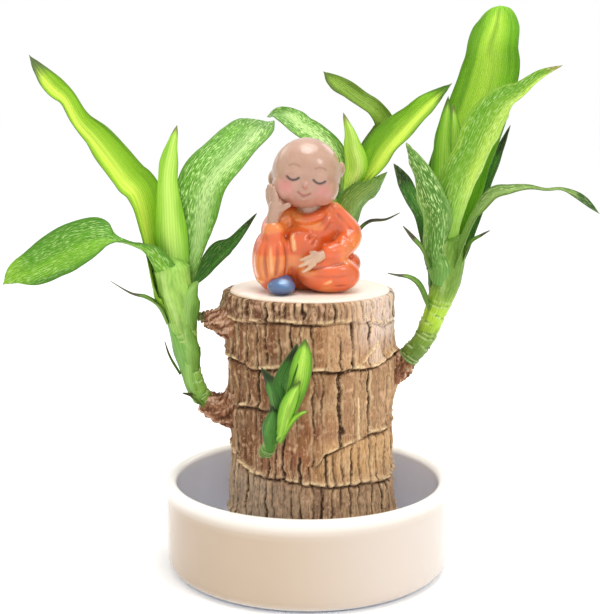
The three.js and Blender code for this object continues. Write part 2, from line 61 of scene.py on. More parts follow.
# ---- Colours and shader nodes ----


def linear(colour):
    """The linear red, green and blue of an sRGB hex colour such as #A9D63C."""
    parts = [int(colour[i : i + 2], 16) / 255 for i in (1, 3, 5)]
    return tuple(p / 12.92 if p <= 0.04045 else ((p + 0.055) / 1.055) ** 2.4 for p in parts)


def opaque(rgb):
    return (*rgb, 1.0)


def add(tree, kind, output=None, sockets=None, **settings):
    """Adds a node with its settings, fills its sockets with values or links, and gives back one output of it."""
    made = tree.nodes.new(kind)
    for name, value in settings.items():
        setattr(made, name, value)
    for socket, value in (sockets or {}).items():
        if isinstance(value, bpy.types.NodeSocket):
            tree.links.new(value, made.inputs[socket])
        else:
            made.inputs[socket].default_value = value
    return None if output is None else made.outputs[output]


def new_material(name):
    """A material and its node tree, which is left empty."""
    material = bpy.data.materials.new(name)
    material.use_nodes = True
    material.node_tree.nodes.clear()
    return material, material.node_tree


def surfaced(material, sockets):
    """The material with its surface: one shader, whose sockets are filled, and the output."""
    shader = add(material.node_tree, "ShaderNodeBsdfPrincipled", "BSDF", sockets)
    add(material.node_tree, "ShaderNodeOutputMaterial", sockets={"Surface": shader})
    return material


# ---- Curves, noise and meshes ----


def smooth(rows, shares):
    """Points at shares of the way along evenly spaced rows, on a smooth curve through them."""
    rows = np.asarray(rows, float)
    rows = rows.reshape(len(rows), -1)
    ends = [2 * rows[0] - rows[1]], [2 * rows[-1] - rows[-2]]
    padded = np.vstack([ends[0], rows, ends[1]])
    at = np.clip(shares, 0, 1) * (len(rows) - 1)
    low = np.minimum(at.astype(int), len(rows) - 2)
    t = (at - low)[:, None]
    a, b, c, d = (padded[low + k] for k in range(4))
    return b + 0.5 * t * (c - a + t * (2 * a - 5 * b + 4 * c - d + t * (3 * (b - c) + d - a)))


def spread(values, shares):
    """Numbers at shares of the way along evenly spaced numbers, in straight lines."""
    return np.interp(shares, np.linspace(0, 1, len(values)), values)


def unit(vectors):
    return vectors / np.maximum(np.linalg.norm(vectors, axis=-1, keepdims=True), 1e-9)


def grain(seed, u, v, cells_u, cells_v):
    """Smooth noise from -1 to 1 over u and v, both from 0 to 1. It repeats in u."""
    lattice = np.random.default_rng(seed).uniform(-1, 1, (cells_u, cells_v + 2))
    x, y = np.mod(u, 1) * cells_u, np.clip(v, 0, 1) * cells_v
    i, j = np.floor(x).astype(int), np.floor(y).astype(int)
    s, t = x - i, y - j
    s, t = s * s * (3 - 2 * s), t * t * (3 - 2 * t)
    i, k = i % cells_u, (i + 1) % cells_u
    low = lattice[i, j] * (1 - s) + lattice[k, j] * s
    high = lattice[i, j + 1] * (1 - s) + lattice[k, j + 1] * s
    return low * (1 - t) + high * t


def bell(distance, width):
    return np.exp(-((distance / width) ** 2))


def ramp(value, low, high):
    """0 below low, 1 above high, and a smooth rise between them. It falls instead if high is the lower one."""
    t = np.clip((value - low) / (high - low), 0, 1)
    return t * t * (3 - 2 * t)


def blend(a, b, share):
    """Rows of colour a with a share of colour b, which may be sRGB hex, in each."""
    b = np.array(linear(b) if isinstance(b, str) else b, float)
    return a + (b - a) * np.asarray(share)[..., None]


def grid_faces(rows, columns):
    """Quads over a grid of points stored row by row, closed round each row."""
    i, j = np.meshgrid(np.arange(rows - 1), np.arange(columns), indexing="ij")
    a, b = i * columns + j, i * columns + (j + 1) % columns
    return np.stack([a, b, b + columns, a + columns], -1).reshape(-1, 4).tolist()


def capped(points, rows, columns):
    """The faces of a closed skin over rings of points, and the points with a middle added at each end."""
    ends = points.reshape(rows, columns, 3)[[0, -1]].mean(1)
    faces = grid_faces(rows, columns)
    count, last = rows * columns, (rows - 1) * columns
    for i in range(columns):
        k = (i + 1) % columns
        faces.append([k, i, count])
        faces.append([last + i, last + k, count + 1])
    return np.vstack([points, ends]), faces


def with_ends(values, rows, columns):
    """Values for capped points: the two end points take the mean of their rings."""
    grid = values.reshape(rows, columns, -1)
    both = np.vstack([grid.reshape(rows * columns, -1), grid[[0, -1]].mean(1)])
    return both if values.ndim > 1 else both[:, 0]


def put(name, points, faces, material, slot, node, colour, **attributes):
    """A smooth mesh in the scene, from millimetres, that rides on the part's one body and stands for one CAD node."""
    mesh = bpy.data.meshes.new(name)
    mesh.from_pydata((np.asarray(points) * MM).tolist(), [], faces)
    mesh.update()
    mesh.polygons.foreach_set("use_smooth", [True] * len(mesh.polygons))
    layer = mesh.attributes.new("tint", "FLOAT_COLOR", "POINT")
    layer.data.foreach_set("color", np.c_[colour, np.ones(len(colour))].astype(np.float32).ravel())
    for key, values in attributes.items():
        values = np.asarray(values, np.float32)
        kind, field = ("FLOAT", "value") if values.ndim == 1 else ("FLOAT_VECTOR", "vector")
        mesh.attributes.new(key, kind, "POINT").data.foreach_set(field, values.ravel())
    piece = bpy.data.objects.new(name, mesh)
    bpy.context.scene.collection.objects.link(piece)
    mesh.materials.append(material)
    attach(piece, "root")
    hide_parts(node)


# ---- Materials ----

# Sockets of the Mix node: the share, then the two colours or the two numbers, and the colour it gives.
SHARE, FIRST, SECOND, RESULT = 0, 6, 7, 2
FIRST_NUMBER, SECOND_NUMBER = 2, 3


def per_mm(*sizes):
    """The mapping scale at which one unit is the given number of millimetres along each axis."""
    return tuple(1 / (size * MM) for size in sizes)


def laid_over(tree, under, over, pattern, start, stop, least, most, amount=None):
    """A colour with another laid over it, whose share goes from least to most as a pattern goes from start to stop."""
    ends = {"From Min": start, "From Max": stop, "To Min": least, "To Max": most}
    share = add(tree, "ShaderNodeMapRange", "Result", {"Value": pattern, **ends})
    if amount is not None:
        share = add(tree, "ShaderNodeMath", 0, {0: share, 1: amount}, operation="MULTIPLY")
    colours = {SHARE: share, FIRST: under, SECOND: opaque(linear(over))}
    return add(tree, "ShaderNodeMix", RESULT, colours, data_type="RGBA")


def glazed_stoneware():
    """White stoneware glaze, fired glossy: a clear bright skin over a soft body, a little uneven in depth."""
    material, tree = new_material("white_glazed_stoneware")
    place = add(tree, "ShaderNodeTexCoord", "Object")
    tint = add(tree, "ShaderNodeAttribute", "Color", attribute_name="tint")
    # The glaze pools in patches about 18 mm across.
    in_patches = add(tree, "ShaderNodeMapping", "Vector", {"Vector": place, "Scale": per_mm(18, 18, 18)})
    depth = add(tree, "ShaderNodeTexNoise", "Fac", {"Vector": in_patches, "Scale": 1.0, "Detail": 3.0})
    pooled = laid_over(tree, tint, "#C9B7A0", depth, 0.3, 0.7, 0.0, 0.1)
    # It settles in waves about 9 mm across, which only a low highlight shows.
    in_waves = add(tree, "ShaderNodeMapping", "Vector", {"Vector": place, "Scale": per_mm(9, 9, 9)})
    waves = add(tree, "ShaderNodeTexNoise", "Fac", {"Vector": in_waves, "Scale": 1.0, "Detail": 1.0})
    normal = add(tree, "ShaderNodeBump", "Normal", {"Strength": 0.3, "Distance": 0.15 * MM, "Height": waves})
    glaze = {"Roughness": 0.16, "IOR": 1.52, "Coat Weight": 0.5, "Coat Roughness": 0.05}
    return surfaced(material, {"Base Color": pooled, "Normal": normal, **glaze})


def dry_bark():
    """Dry Dracaena bark, peeled and weathered: rough corky plates with fine upright fibres and no gloss."""
    material, tree = new_material("dry_dracaena_bark")
    place = add(tree, "ShaderNodeTexCoord", "Object")
    tint = add(tree, "ShaderNodeAttribute", "Color", attribute_name="tint")
    # Fibres are about 0.55 mm wide and 5 mm long, so that they read as upright scratches.
    drawn_out = add(tree, "ShaderNodeMapping", "Vector", {"Vector": place, "Scale": per_mm(0.55, 0.55, 5)})
    fine = {"Vector": drawn_out, "Scale": 1.0, "Detail": 3.0, "Roughness": 0.55}
    fibres = add(tree, "ShaderNodeTexNoise", "Fac", fine)
    # Corky flecks are about 1.3 mm wide and 1.7 mm high.
    corky = add(tree, "ShaderNodeMapping", "Vector", {"Vector": place, "Scale": per_mm(1.3, 1.3, 1.7)})
    flecks = add(tree, "ShaderNodeTexNoise", "Fac", {"Vector": corky, "Scale": 1.0, "Detail": 5.0, "Roughness": 0.7})
    dark = laid_over(tree, tint, "#4A2A16", fibres, 0.34, 0.5, 0.5, 0.0)
    pale = laid_over(tree, dark, "#E6BC90", flecks, 0.54, 0.7, 0.0, 0.65)
    rough = add(tree, "ShaderNodeMix", 0, {SHARE: 0.5, FIRST_NUMBER: fibres, SECOND_NUMBER: flecks}, data_type="FLOAT")
    normal = add(tree, "ShaderNodeBump", "Normal", {"Strength": 0.8, "Distance": 0.45 * MM, "Height": rough})
    dry = {"Roughness": 0.82, "IOR": 1.45, "Specular IOR Level": 0.3}
    return surfaced(material, {"Base Color": pale, "Normal": normal, **dry})


def sealing_wax():
    """Pale grafting wax, brushed on warm: a thin satin skin that lets the cut wood's grey and pink show through."""
    material, tree = new_material("brushed_sealing_wax")
    place = add(tree, "ShaderNodeTexCoord", "Object")
    tint = add(tree, "ShaderNodeAttribute", "Color", attribute_name="tint")
    # The wood shows as patches about 14 mm across, and the brush leaves strokes about 1.6 mm wide.
    in_patches = add(tree, "ShaderNodeMapping", "Vector", {"Vector": place, "Scale": per_mm(14, 14, 14)})
    patches = add(tree, "ShaderNodeTexNoise", "Fac", {"Vector": in_patches, "Scale": 1.0, "Detail": 3.0})
    brushed = add(tree, "ShaderNodeMapping", "Vector", {"Vector": place, "Scale": per_mm(6, 1.6, 3)})
    strokes = add(tree, "ShaderNodeTexNoise", "Fac", {"Vector": brushed, "Scale": 1.0, "Detail": 3.0})
    wood = laid_over(tree, tint, "#E3D6C6", patches, 0.4, 0.68, 0.0, 0.55)
    tone = laid_over(tree, wood, "#FBF3E8", strokes, 0.5, 0.75, 0.0, 0.4)
    normal = add(tree, "ShaderNodeBump", "Normal", {"Strength": 0.5, "Distance": 0.2 * MM, "Height": strokes})
    satin = {"Roughness": 0.42, "IOR": 1.44}
    # Light goes about 1.2 mm into the wax, and red goes furthest.
    deep = {"Subsurface Weight": 0.15, "Subsurface Scale": 1.2 * MM, "Subsurface Radius": (1.0, 0.7, 0.5)}
    return surfaced(material, {"Base Color": tone, "Normal": normal, **satin, **deep})


def living_leaf(name, streak_share):
    """Living Dracaena leaf, grown with parallel veins: waxy and satin, with pale flecks strung along the veins.

    The flecks are painted glints on the ridges of the veins.
    """
    material, tree = new_material(name)
    tint = add(tree, "ShaderNodeAttribute", "Color", attribute_name="tint")
    place = add(tree, "ShaderNodeAttribute", "Vector", attribute_name="leaf_mm")
    amount = add(tree, "ShaderNodeAttribute", "Fac", attribute_name="fleck")
    # Veins run 0.8 mm apart; real ones are finer and would not show. The wave node has 3.2 bands to a unit.
    spaced = {"Vector": place, "Scale": 1 / (0.8 * 3.2), "Distortion": 0.6, "Detail": 1.0}
    veins = add(tree, "ShaderNodeTexWave", "Fac", spaced, bands_direction="X")
    # Flecks are drawn-out dashes, about 0.45 mm wide and 2.8 mm long: painted glints.
    drawn_out = add(tree, "ShaderNodeMapping", "Vector", {"Vector": place, "Scale": (1 / 0.45, 1 / 2.8, 1.0)})
    dashes = {"Vector": drawn_out, "Scale": 1.0, "Detail": 2.0, "Roughness": 0.6}
    flecks = add(tree, "ShaderNodeTexNoise", "Fac", dashes)
    veined = laid_over(tree, tint, "#3F6E14", veins, 0.1, 0.6, 0.3 * streak_share, 0.0)
    shaded = laid_over(tree, veined, "#3F6B22", flecks, 0.32, 0.5, 0.85, 0.0, amount)
    flecked = laid_over(tree, shaded, "#D2EC9C", flecks, 0.52, 0.64, 0.0, streak_share, amount)
    normal = add(tree, "ShaderNodeBump", "Normal", {"Strength": 0.7, "Distance": 0.14 * MM, "Height": veins})
    waxy = {"Roughness": 0.42, "IOR": 1.42, "Specular IOR Level": 0.28}
    return surfaced(material, {"Base Color": flecked, "Normal": normal, **waxy})


def painted_resin():
    """Cast polyresin, painted by hand and varnished: soft edges, painted shade in the hollows and a wet gloss."""
    material, tree = new_material("varnished_polyresin")
    place = add(tree, "ShaderNodeTexCoord", "Object")
    tint = add(tree, "ShaderNodeAttribute", "Color", attribute_name="tint")
    # Brushed paint thins in patches about 5 mm across.
    in_patches = add(tree, "ShaderNodeMapping", "Vector", {"Vector": place, "Scale": per_mm(5, 5, 5)})
    patches = add(tree, "ShaderNodeTexNoise", "Fac", {"Vector": in_patches, "Scale": 1.0, "Detail": 3.0})
    wear_and_highlight = laid_over(tree, tint, "#8E5A40", patches, 0.35, 0.6, 0.22, 0.0)
    varnish = {"Roughness": 0.34, "IOR": 1.5, "Coat Weight": 0.6, "Coat Roughness": 0.12}
    return surfaced(material, {"Base Color": wear_and_highlight, **varnish})


def studio_floor(colour):
    """Matt white card, laid flat: an even pale ground with no shine."""
    material, _ = new_material("matt_white_card")
    matt = {"Base Color": opaque(colour), "Roughness": 0.9, "Specular IOR Level": 0.1}
    return surfaced(material, matt)


# ---- Bowl ----


def make_bowl(settings):
    radius, height, wall = (getattr(settings, key) / MM for key in ("radius", "height", "wall"))
    foot, lip, corner, inner_corner, floor = radius - 1, wall / 2, 5.0, 7.0, 5.0
    inside = foot - wall

    def arc(centre_r, centre_z, size, start, stop, steps):
        turn = np.radians(np.linspace(start, stop, steps))
        return np.c_[centre_r + size * np.cos(turn), centre_z + size * np.sin(turn)]

    outline = np.vstack([
        [[0.4, 0.0], [20, 0.0], [40, 0.0]],
        arc(foot - corner, corner, corner, -90, 0, 14),
        np.c_[np.linspace(foot, radius, 16)[1:-1], np.linspace(corner, height - lip, 16)[1:-1]],
        arc(radius - lip, height - lip, lip, 0, 180, 18),
        np.c_[np.linspace(radius - wall, inside, 14)[1:-1], np.linspace(height - lip, floor + inner_corner, 14)[1:-1]],
        arc(inside - inner_corner, floor + inner_corner, inner_corner, 0, -90, 14),
        [[30, floor], [15, floor], [0.4, floor]],
    ])
    columns = 160
    turn = np.linspace(0, 2 * math.pi, columns, endpoint=False)
    # A thrown rim is never quite round or level.
    wobble = 1 + 0.0025 * np.cos(2 * turn + 0.6)
    points = np.stack([
        outline[:, :1] * np.cos(turn) * wobble,
        outline[:, :1] * np.sin(turn) * wobble,
        np.repeat(outline[:, 1:], columns, 1),
    ], -1).reshape(-1, 3)
    points, faces = capped(points, len(outline), columns)
    around = np.hypot(points[:, 0], points[:, 1])
    inner = ramp(around, radius - wall * 0.45, radius - wall * 0.95) * ramp(points[:, 2], height, height - 4)
    outer = ramp(around, radius - wall * 0.75, radius - wall * 0.2) * ramp(points[:, 2], height - 1, height - 8)
    colour = blend(np.tile(settings.lip_colour, (len(points), 1)), tuple(settings.outside_colour), outer)
    # The outside glaze is painted from tan on the left, as painted shade, to near white on the right, as painted light.
    colour = blend(colour, "#D6CAC0", 0.85 * outer * ramp(points[:, 0], -25, 50))
    colour = blend(colour, "#A58E75", 0.5 * outer * ramp(points[:, 0], -22, -52))
    # The inside's cool blue cast is painted cool light from above.
    colour = blend(colour, tuple(settings.inside_colour), inner)
    put("bowl_body", points, faces, glazed_stoneware(), "white_glaze", "bowl", colour)


# ---- Stump ----

# The bark is in bands between leaf scars. Each scar is a run of (degrees round from the front, height, how far it is
# open, from 0 to 1).
SCARS = [
    [(-180, 109, 0.6), (-110, 108, 0.6), (-56, 107.4, 0.7), (-28, 109.3, 0.8), (0, 109.2, 0.7), (18, 109.4, 0.6),
     (41, 109.2, 0.5), (58, 105.6, 0.6), (120, 107, 0.6), (180, 109, 0.6)],
    [(-180, 91, 1), (-100, 92, 1), (-70, 91.4, 1), (-50, 90.8, 1), (-43, 89.4, 1), (-35, 89.3, 1), (-23, 90.8, 0.9),
     (-10, 91, 0.6), (0, 90.6, 0.9), (12, 90.1, 1), (26, 90.3, 1), (40, 90, 1), (59, 90.7, 1), (75, 92.5, 1),
     (120, 90, 1), (180, 91, 1)],
    [(-180, 72, 1), (-120, 74, 1), (-70, 71.1, 1), (-51, 72.9, 1), (-40, 73.3, 1), (-30, 73, 0.3), (-26, 70, 0),
     (-4, 51, 0), (2, 50.5, 0.5), (8.6, 55.8, 0.6), (18.8, 58.6, 0.6), (33.7, 61.1, 0.6), (47.4, 62.5, 0.7),
     (69, 61.1, 0.8), (120, 68, 1), (180, 72, 1)],
    [(-180, 46, 1), (-100, 52, 1), (-71.5, 50.9, 1), (-55, 48.1, 1), (-44, 45.8, 1), (-35, 45.2, 1), (-21.5, 46.1, 1),
     (-13, 44.9, 0.8), (-1, 43.9, 0.9), (12, 42.9, 0.8), (26, 42.8, 0.8), (43, 42.6, 0.8), (70, 39.9, 1),
     (120, 42, 1), (180, 46, 1)],
    [(-180, 24, 0.8), (-60, 25, 0.8), (0, 23, 0.8), (60, 22, 0.8), (120, 25, 0.8), (180, 24, 0.8)],
]
# How wide the plates between the grooves are in each band, in degrees, from the top band down.
PLATES = [(3.0, 7.5), (5.0, 11.0), (5.0, 12.0), (4.6, 6.6), (4.6, 9.6), (5.0, 10.0)]
BARK_COLUMNS = 440
BARK_ROWS = 216
STUMP_RADIUS = 33.5
STUMP_FOOT = 5.0
MM_PER_DEGREE = 0.6
# Torn fibres that lie across the bark: each end as (degrees, height), and the width.
TORN_FIBRES = [((-58, 49.4), (-41, 45.6), 0.7), ((33, 60), (34, 78), 0.4), ((37, 92.7), (49, 99.7), 0.5)]
KNOT_HOLE = (21, 65.5)
# Where the bark swells round a shoot: degrees, height, how wide and how far out.
SWELLINGS = [(-96, 69, 9, 3.5), (87, 81, 9, 3.0), (-23, 57, 7, 1.4), (158, 99, 9, 3), (-98, 104, 9, 3)]


def stump_middle(height):
    return 2.4 - 1.5 * height / STUMP_TOP


def bark_surface(degrees, height, settings):
    """How far the bark stands out in millimetres, and its colour."""
    relief = settings.relief / MM
    u, v = (degrees + 180) / 360, height / STUMP_TOP
    rng = np.random.default_rng(11)
    out = relief * (0.5 * grain(1, u, v, 22, 9) + 0.3 * grain(2, u, v, 70, 26) + 0.26 * grain(3, u, v, 220, 110))
    crack, wear_and_highlight = np.zeros_like(out), np.zeros_like(out)
    tone = np.zeros_like(out)
    scars = [np.array(scar, float).T for scar in SCARS]
    lines = [np.interp(degrees, *scar[:2]) + 0.45 * grain(20 + k, u, v, 70, 1) for k, scar in enumerate(scars)]
    band = sum((height < line).astype(int) for line in lines)
    ragged = degrees + 1.3 * grain(31, u, v, 40, 30) + 0.5 * grain(32, u, v, 160, 90)
    for k in range(len(SCARS) + 1):
        cuts = np.cumsum(rng.uniform(*PLATES[k], 200)) - 185
        cuts = cuts[cuts < 178]
        depths = rng.uniform(0.3, 1.0, len(cuts))
        widths = rng.uniform(0.35, 0.8, len(cuts))
        tones = rng.uniform(-1, 1, len(cuts))
        crowns = rng.uniform(-0.2, 0.75, len(cuts))
        here = band == k
        after = np.clip(np.searchsorted(cuts, ragged), 0, len(cuts) - 1)
        before = np.clip(after - 1, 0, len(cuts) - 1)
        for side in (before, after):
            gap = np.abs(ragged - cuts[side]) * MM_PER_DEGREE
            cut = depths[side] * bell(gap, widths[side])
            # A groove fades out in places, so that plates join.
            cut *= 0.45 + 0.55 * ramp(grain(50 + k, (cuts[side] + 180) / 360, v, 90, 12), -0.6, 0.2)
            out -= here * relief * 1.15 * cut
            crack = np.maximum(crack, here * cut)
            # Each plate has a pale edge beside its groove, a painted highlight.
            patchy = 0.6 + 0.6 * grain(45 + k, u, v, 90, 20)
            wear_and_highlight = np.maximum(wear_and_highlight, here * depths[side] * bell(gap - 0.95, 0.5) * patchy)
        width = np.maximum(cuts[after] - cuts[before], 1)
        share = np.clip((ragged - cuts[before]) / width, 0, 1)
        out += here * relief * (crowns[before] + 0.5 * np.sin(math.pi * share))
        tone = np.where(here, tones[before], tone)
    ridge = np.zeros_like(out)
    for k, line in enumerate(lines):
        above = height - line
        lifted = np.interp(degrees, scars[k][0], scars[k][2])
        open_crack = lifted * (0.9 + 0.35 * grain(60 + k, u, v * 0, 30, 1))
        # The band above a scar overhangs it with a pale torn edge, partly painted highlight, and a crack opens below.
        out += relief * 1.2 * lifted * bell(above - 0.9, 0.8)
        ridge = np.maximum(ridge, lifted * bell(above - 0.75, 0.6) * ramp(grain(70 + k, u, v, 46, 4), -0.75, 0.2))
        cut = np.clip(open_crack, 0, 1.2) * bell(above + 0.75, 0.6)
        out -= relief * 1.5 * cut
        crack = np.maximum(crack, np.clip(cut, 0, 1))
    for (a0, z0), (a1, z1), wide in TORN_FIBRES:
        turn, rise = a1 - a0, z1 - z0
        along = np.clip(((degrees - a0) * turn + (height - z0) * rise) / (turn**2 + rise**2), 0, 1)
        away = np.hypot((degrees - a0 - along * turn) * MM_PER_DEGREE, height - z0 - along * rise)
        out += relief * 0.8 * bell(away, wide)
        ridge = np.maximum(ridge, bell(away, wide))
    hole = bell(np.hypot((degrees - KNOT_HOLE[0]) * MM_PER_DEGREE, (height - KNOT_HOLE[1]) * 0.7), 1.3)
    out -= 1.2 * hole
    crack = np.maximum(crack, hole)
    for place, level, size, rise in SWELLINGS:
        turn = np.abs((degrees - place + 180) % 360 - 180) * MM_PER_DEGREE
        out += rise * bell(np.hypot(turn, height - level), size)
    return out, bark_colour(settings, degrees, height, u, v, tone, np.maximum(ridge, 0.5 * wear_and_highlight), crack)


def bark_colour(settings, degrees, height, u, v, tone, ridge, crack):
    """The colour of the bark before its fine fibres: several browns, pale torn edges and painted highlight,
    and cracks darkened as painted shade.
    """
    colour = np.tile(tuple(settings.bark_colour), (*degrees.shape, 1))
    colour = blend(colour, "#6E3F26", 0.75 * ramp(tone, 0.1, 0.8))
    colour = blend(colour, "#C49A70", 0.75 * ramp(-tone, 0.1, 0.9))
    patch = grain(80, u, v, 26, 14)
    colour = blend(colour, "#8A5238", 0.55 * ramp(patch, 0.1, 0.7))
    colour = blend(colour, "#D9B48C", 0.5 * ramp(-patch, 0.2, 0.8))
    # Painted light on the right, which faces the key lamp, and painted shade on the left.
    colour = blend(colour, "#C9A27A", 0.4 * ramp(degrees, 2, 18) * ramp(degrees, 170, 140) * ramp(height, 44, 47))
    colour = blend(colour, "#5E381F", 0.55 * ramp(degrees, 6, -24) * ramp(height, 44, 50))
    # Pinkish white high on the right is weathered pale wood with painted light on it;
    # tan on the right and grey low on the left are weathering.
    high_right = ramp(degrees, 18, 52) * ramp(degrees, 150, 110) * ramp(height, 92, 106)
    colour = blend(colour, "#E6CFC2", 0.9 * high_right)
    right = ramp(degrees, 0, 45) * ramp(degrees, 160, 120) * ramp(height, 96, 84)
    colour = blend(colour, "#A8865F", 0.45 * right)
    tan_band = ramp(degrees, -2, 12) * ramp(degrees, 140, 110) * ramp(height, 41, 44) * ramp(height, 64, 58)
    colour = blend(colour, "#D2A36C", 0.6 * tan_band)
    low = ramp(height, 50, 42)
    colour = blend(colour, "#A79A88", 0.65 * low * ramp(degrees, 10, -40))
    colour = blend(colour, "#B39A7E", 0.35 * low)
    red = bell(np.hypot((degrees + 22) * MM_PER_DEGREE, (height - 54) * 1.2), 10)
    colour = blend(colour, "#9A4A34", 0.55 * red)
    # The top band is rough and mottled red-brown on the left.
    rim = ramp(height, 108.6, 110.4) * ramp(degrees, 30, 5)
    colour = blend(colour, "#5A2E1C", 0.75 * rim)
    colour = blend(colour, "#D0A488", 0.7 * rim * ramp(grain(81, u, v, 150, 60), 0.2, 0.7))
    colour = blend(colour, "#DDB48E", 0.6 * ramp(grain(82, u, v, 120, 50), 0.35, 0.85))
    # A pointed flake of pale bark stands up from the scar on the right.
    flake = ramp(np.abs(degrees - 50) * MM_PER_DEGREE + (height - 99) * 0.9, 1.0, -0.6)
    flake = flake * ramp(height, 91.2, 92) * ramp(degrees, 37, 39)
    colour = blend(colour, "#E9CDB8", 0.7 * flake)
    # Pale: the torn fibres and torn edges, and painted highlight on the plate edges and scar ledges.
    colour = blend(colour, "#F4D6A6", np.clip(1.25 * ridge, 0, 1))
    # The cracks, the scar cracks and the knot hole are darkened as painted shade.
    return blend(colour, tuple(settings.crack_shade_colour), 0.95 * ramp(crack, 0.14, 0.6))


# The bark collars that stand out round the foot of each side shoot: points on the axis and the radius at each.
COLLARS = [
    ([[-28, -4, 68], [-34, -6.5, 68.5], [-38, -8, 70], [-42.5, -9.5, 73]], [9.6, 7.2, 5.6, 4.4]),
    ([[29, 0, 82], [34, -1, 83], [38, -2.5, 86], [41, -3.5, 89.5]], [9, 7.2, 5.8, 5.0]),
    ([[9, 29, 100], [10, 33, 101.5], [11, 37, 104], [11.5, 38, 106]], [8, 6.4, 5, 4]),
    ([[-27, -5, 104], [-34, -7, 105], [-38, -8, 106], [-42, -8.5, 106.6]], [10.8, 6.6, 4.4, 2.9]),
]


def limb_rings(points, radii, rows, columns, bumps=None):
    """Rings of points round a bent axis, their shares along it and their angles."""
    share = np.linspace(0, 1, rows)
    centre = smooth(points, share)
    along = unit(smooth(points, np.clip(share + 0.01, 0, 1)) - smooth(points, np.clip(share - 0.01, 0, 1)))
    side = unit(np.cross([0.0, 1.0, 0.0], along))
    other = np.cross(along, side)
    turn = np.linspace(0, 2 * math.pi, columns, endpoint=False)
    s, t = np.meshgrid(share, turn, indexing="ij")
    radius = spread(radii, s)
    if bumps is not None:
        radius = radius + bumps(s, t)
    ring = side[:, None] * np.cos(t)[..., None] + other[:, None] * np.sin(t)[..., None]
    return (centre[:, None] + ring * radius[..., None]).reshape(-1, 3), s.ravel(), t.ravel()


def make_stump(settings):
    relief = settings.relief / MM
    degrees, height = np.meshgrid(
        np.linspace(-180, 180, BARK_COLUMNS, endpoint=False), np.linspace(STUMP_FOOT, STUMP_TOP, BARK_ROWS)
    )
    out, colour = bark_surface(degrees, height, settings)
    # The log is waisted between its bands and flares where it was cut at the foot.
    up = height - STUMP_FOOT
    waist = 0.9 * np.cos(math.pi * up / 56) + 1.6 * np.exp(-up / 14)
    radius = STUMP_RADIUS + waist + out
    # The saw left the top rim a little ragged.
    radius -= 0.7 * ramp(height, STUMP_TOP - 0.9, STUMP_TOP)
    turn = np.radians(degrees)
    points = np.stack([stump_middle(height) + radius * np.sin(turn), -radius * np.cos(turn), height], -1).reshape(-1, 3)
    points, faces = capped(points, BARK_ROWS, BARK_COLUMNS)
    colours = with_ends(colour.reshape(-1, 3), BARK_ROWS, BARK_COLUMNS)
    for index, (axis, radii) in enumerate(COLLARS):
        rows, columns = 56, 110

        def scales(s, t, seed=90 + index):
            fibres = grain(seed, t / (2 * math.pi) + 0.3 * s, s, 22, 4)
            flakes = grain(seed + 10, t / (2 * math.pi), s, 30, 16)
            return relief * (0.9 * fibres + 0.5 * flakes - 0.8 * np.abs(np.sin(7 * math.pi * s + 3 * fibres)) ** 8)

        ring, s, t = limb_rings(axis, radii, rows, columns, scales)
        ring, ring_faces = capped(ring, rows, columns)
        start = len(points)
        shade = grain(120 + index, t / (2 * math.pi) + 0.3 * s, s, 26, 6)
        ring_colour = np.tile(linear("#9A6A4A"), (len(s), 1))
        ring_colour = blend(ring_colour, "#5A3220", 0.8 * ramp(shade, 0.0, 0.6))
        ring_colour = blend(ring_colour, "#DDB498", 0.9 * ramp(-shade, 0.1, 0.6))
        points = np.vstack([points, ring])
        colours = np.vstack([colours, with_ends(ring_colour, rows, columns)])
        faces += [[start + corner for corner in face] for face in ring_faces]
    put("stump_bark", points, faces, dry_bark(), "bark", "stump", colours)


def make_wax(settings):
    rows, columns = 46, 150
    turn = np.linspace(0, 2 * math.pi, columns, endpoint=False)
    share = np.concatenate([np.linspace(0.02, 0.93, rows - 14), np.full(14, 1.0)])
    s, t = np.meshgrid(share, turn, indexing="ij")
    u = t / (2 * math.pi)
    edge = 32.7 + 0.35 * grain(140, u, s * 0, 14, 1) + 0.2 * grain(141, u, s * 0, 50, 1)
    thick = settings.thickness / MM
    bend = np.concatenate([np.zeros(rows - 14), np.linspace(0, 1, 14)])[:, None]
    radius = np.where(s < 1, s * (edge - thick * 0.8), edge - thick * 0.8 * (1 - np.sin(bend * math.pi / 2)))
    level = STUMP_TOP + thick - np.where(s < 1, 0, thick * (1 - np.cos(bend * math.pi / 2)))
    level = level + 0.12 * grain(142, u, s, 9, 5) * (s < 1) * ramp(s, 0.0, 0.3) * ramp(s, 1.0, 0.8)
    middle = stump_middle(STUMP_TOP)
    points = np.stack([middle + radius * np.cos(t), radius * np.sin(t), level], -1)
    points = points[::-1].reshape(-1, 3)
    points, faces = capped(points, rows, columns)
    colour = np.tile(tuple(settings.colour), (len(points), 1))
    # The left is painted a lighter, pinker cream, so the greyer right stands as painted shade.
    colour = blend(colour, "#FCE6DC", 0.6 * ramp(points[:, 0], 5, -25))
    rim = np.hypot(points[:, 0] - middle, points[:, 1])
    colour = blend(colour, "#E9C3A6", 0.7 * ramp(rim, 31, 33) * ramp(points[:, 0], 22, -5))
    put("wax_skin", points, faces, sealing_wax(), "wax", "wax_seal", colour)


# ---- Shoots ----

# How a blade is coloured: the blade, its edge, its stripe, its foot, its tip; then where the stripe lies across the
# blade from -1 to 1, how wide it is, and the share of the length at which the tip's colour starts. The stripe is
# partly the midrib's paler green and partly a painted highlight where the blade curves toward the light.
YOUNG = ("#98D03A", "#74AE26", "#C8EC6C", "#9CCC5A", "#7C6C4E", -0.2, 0.45, 0.95)
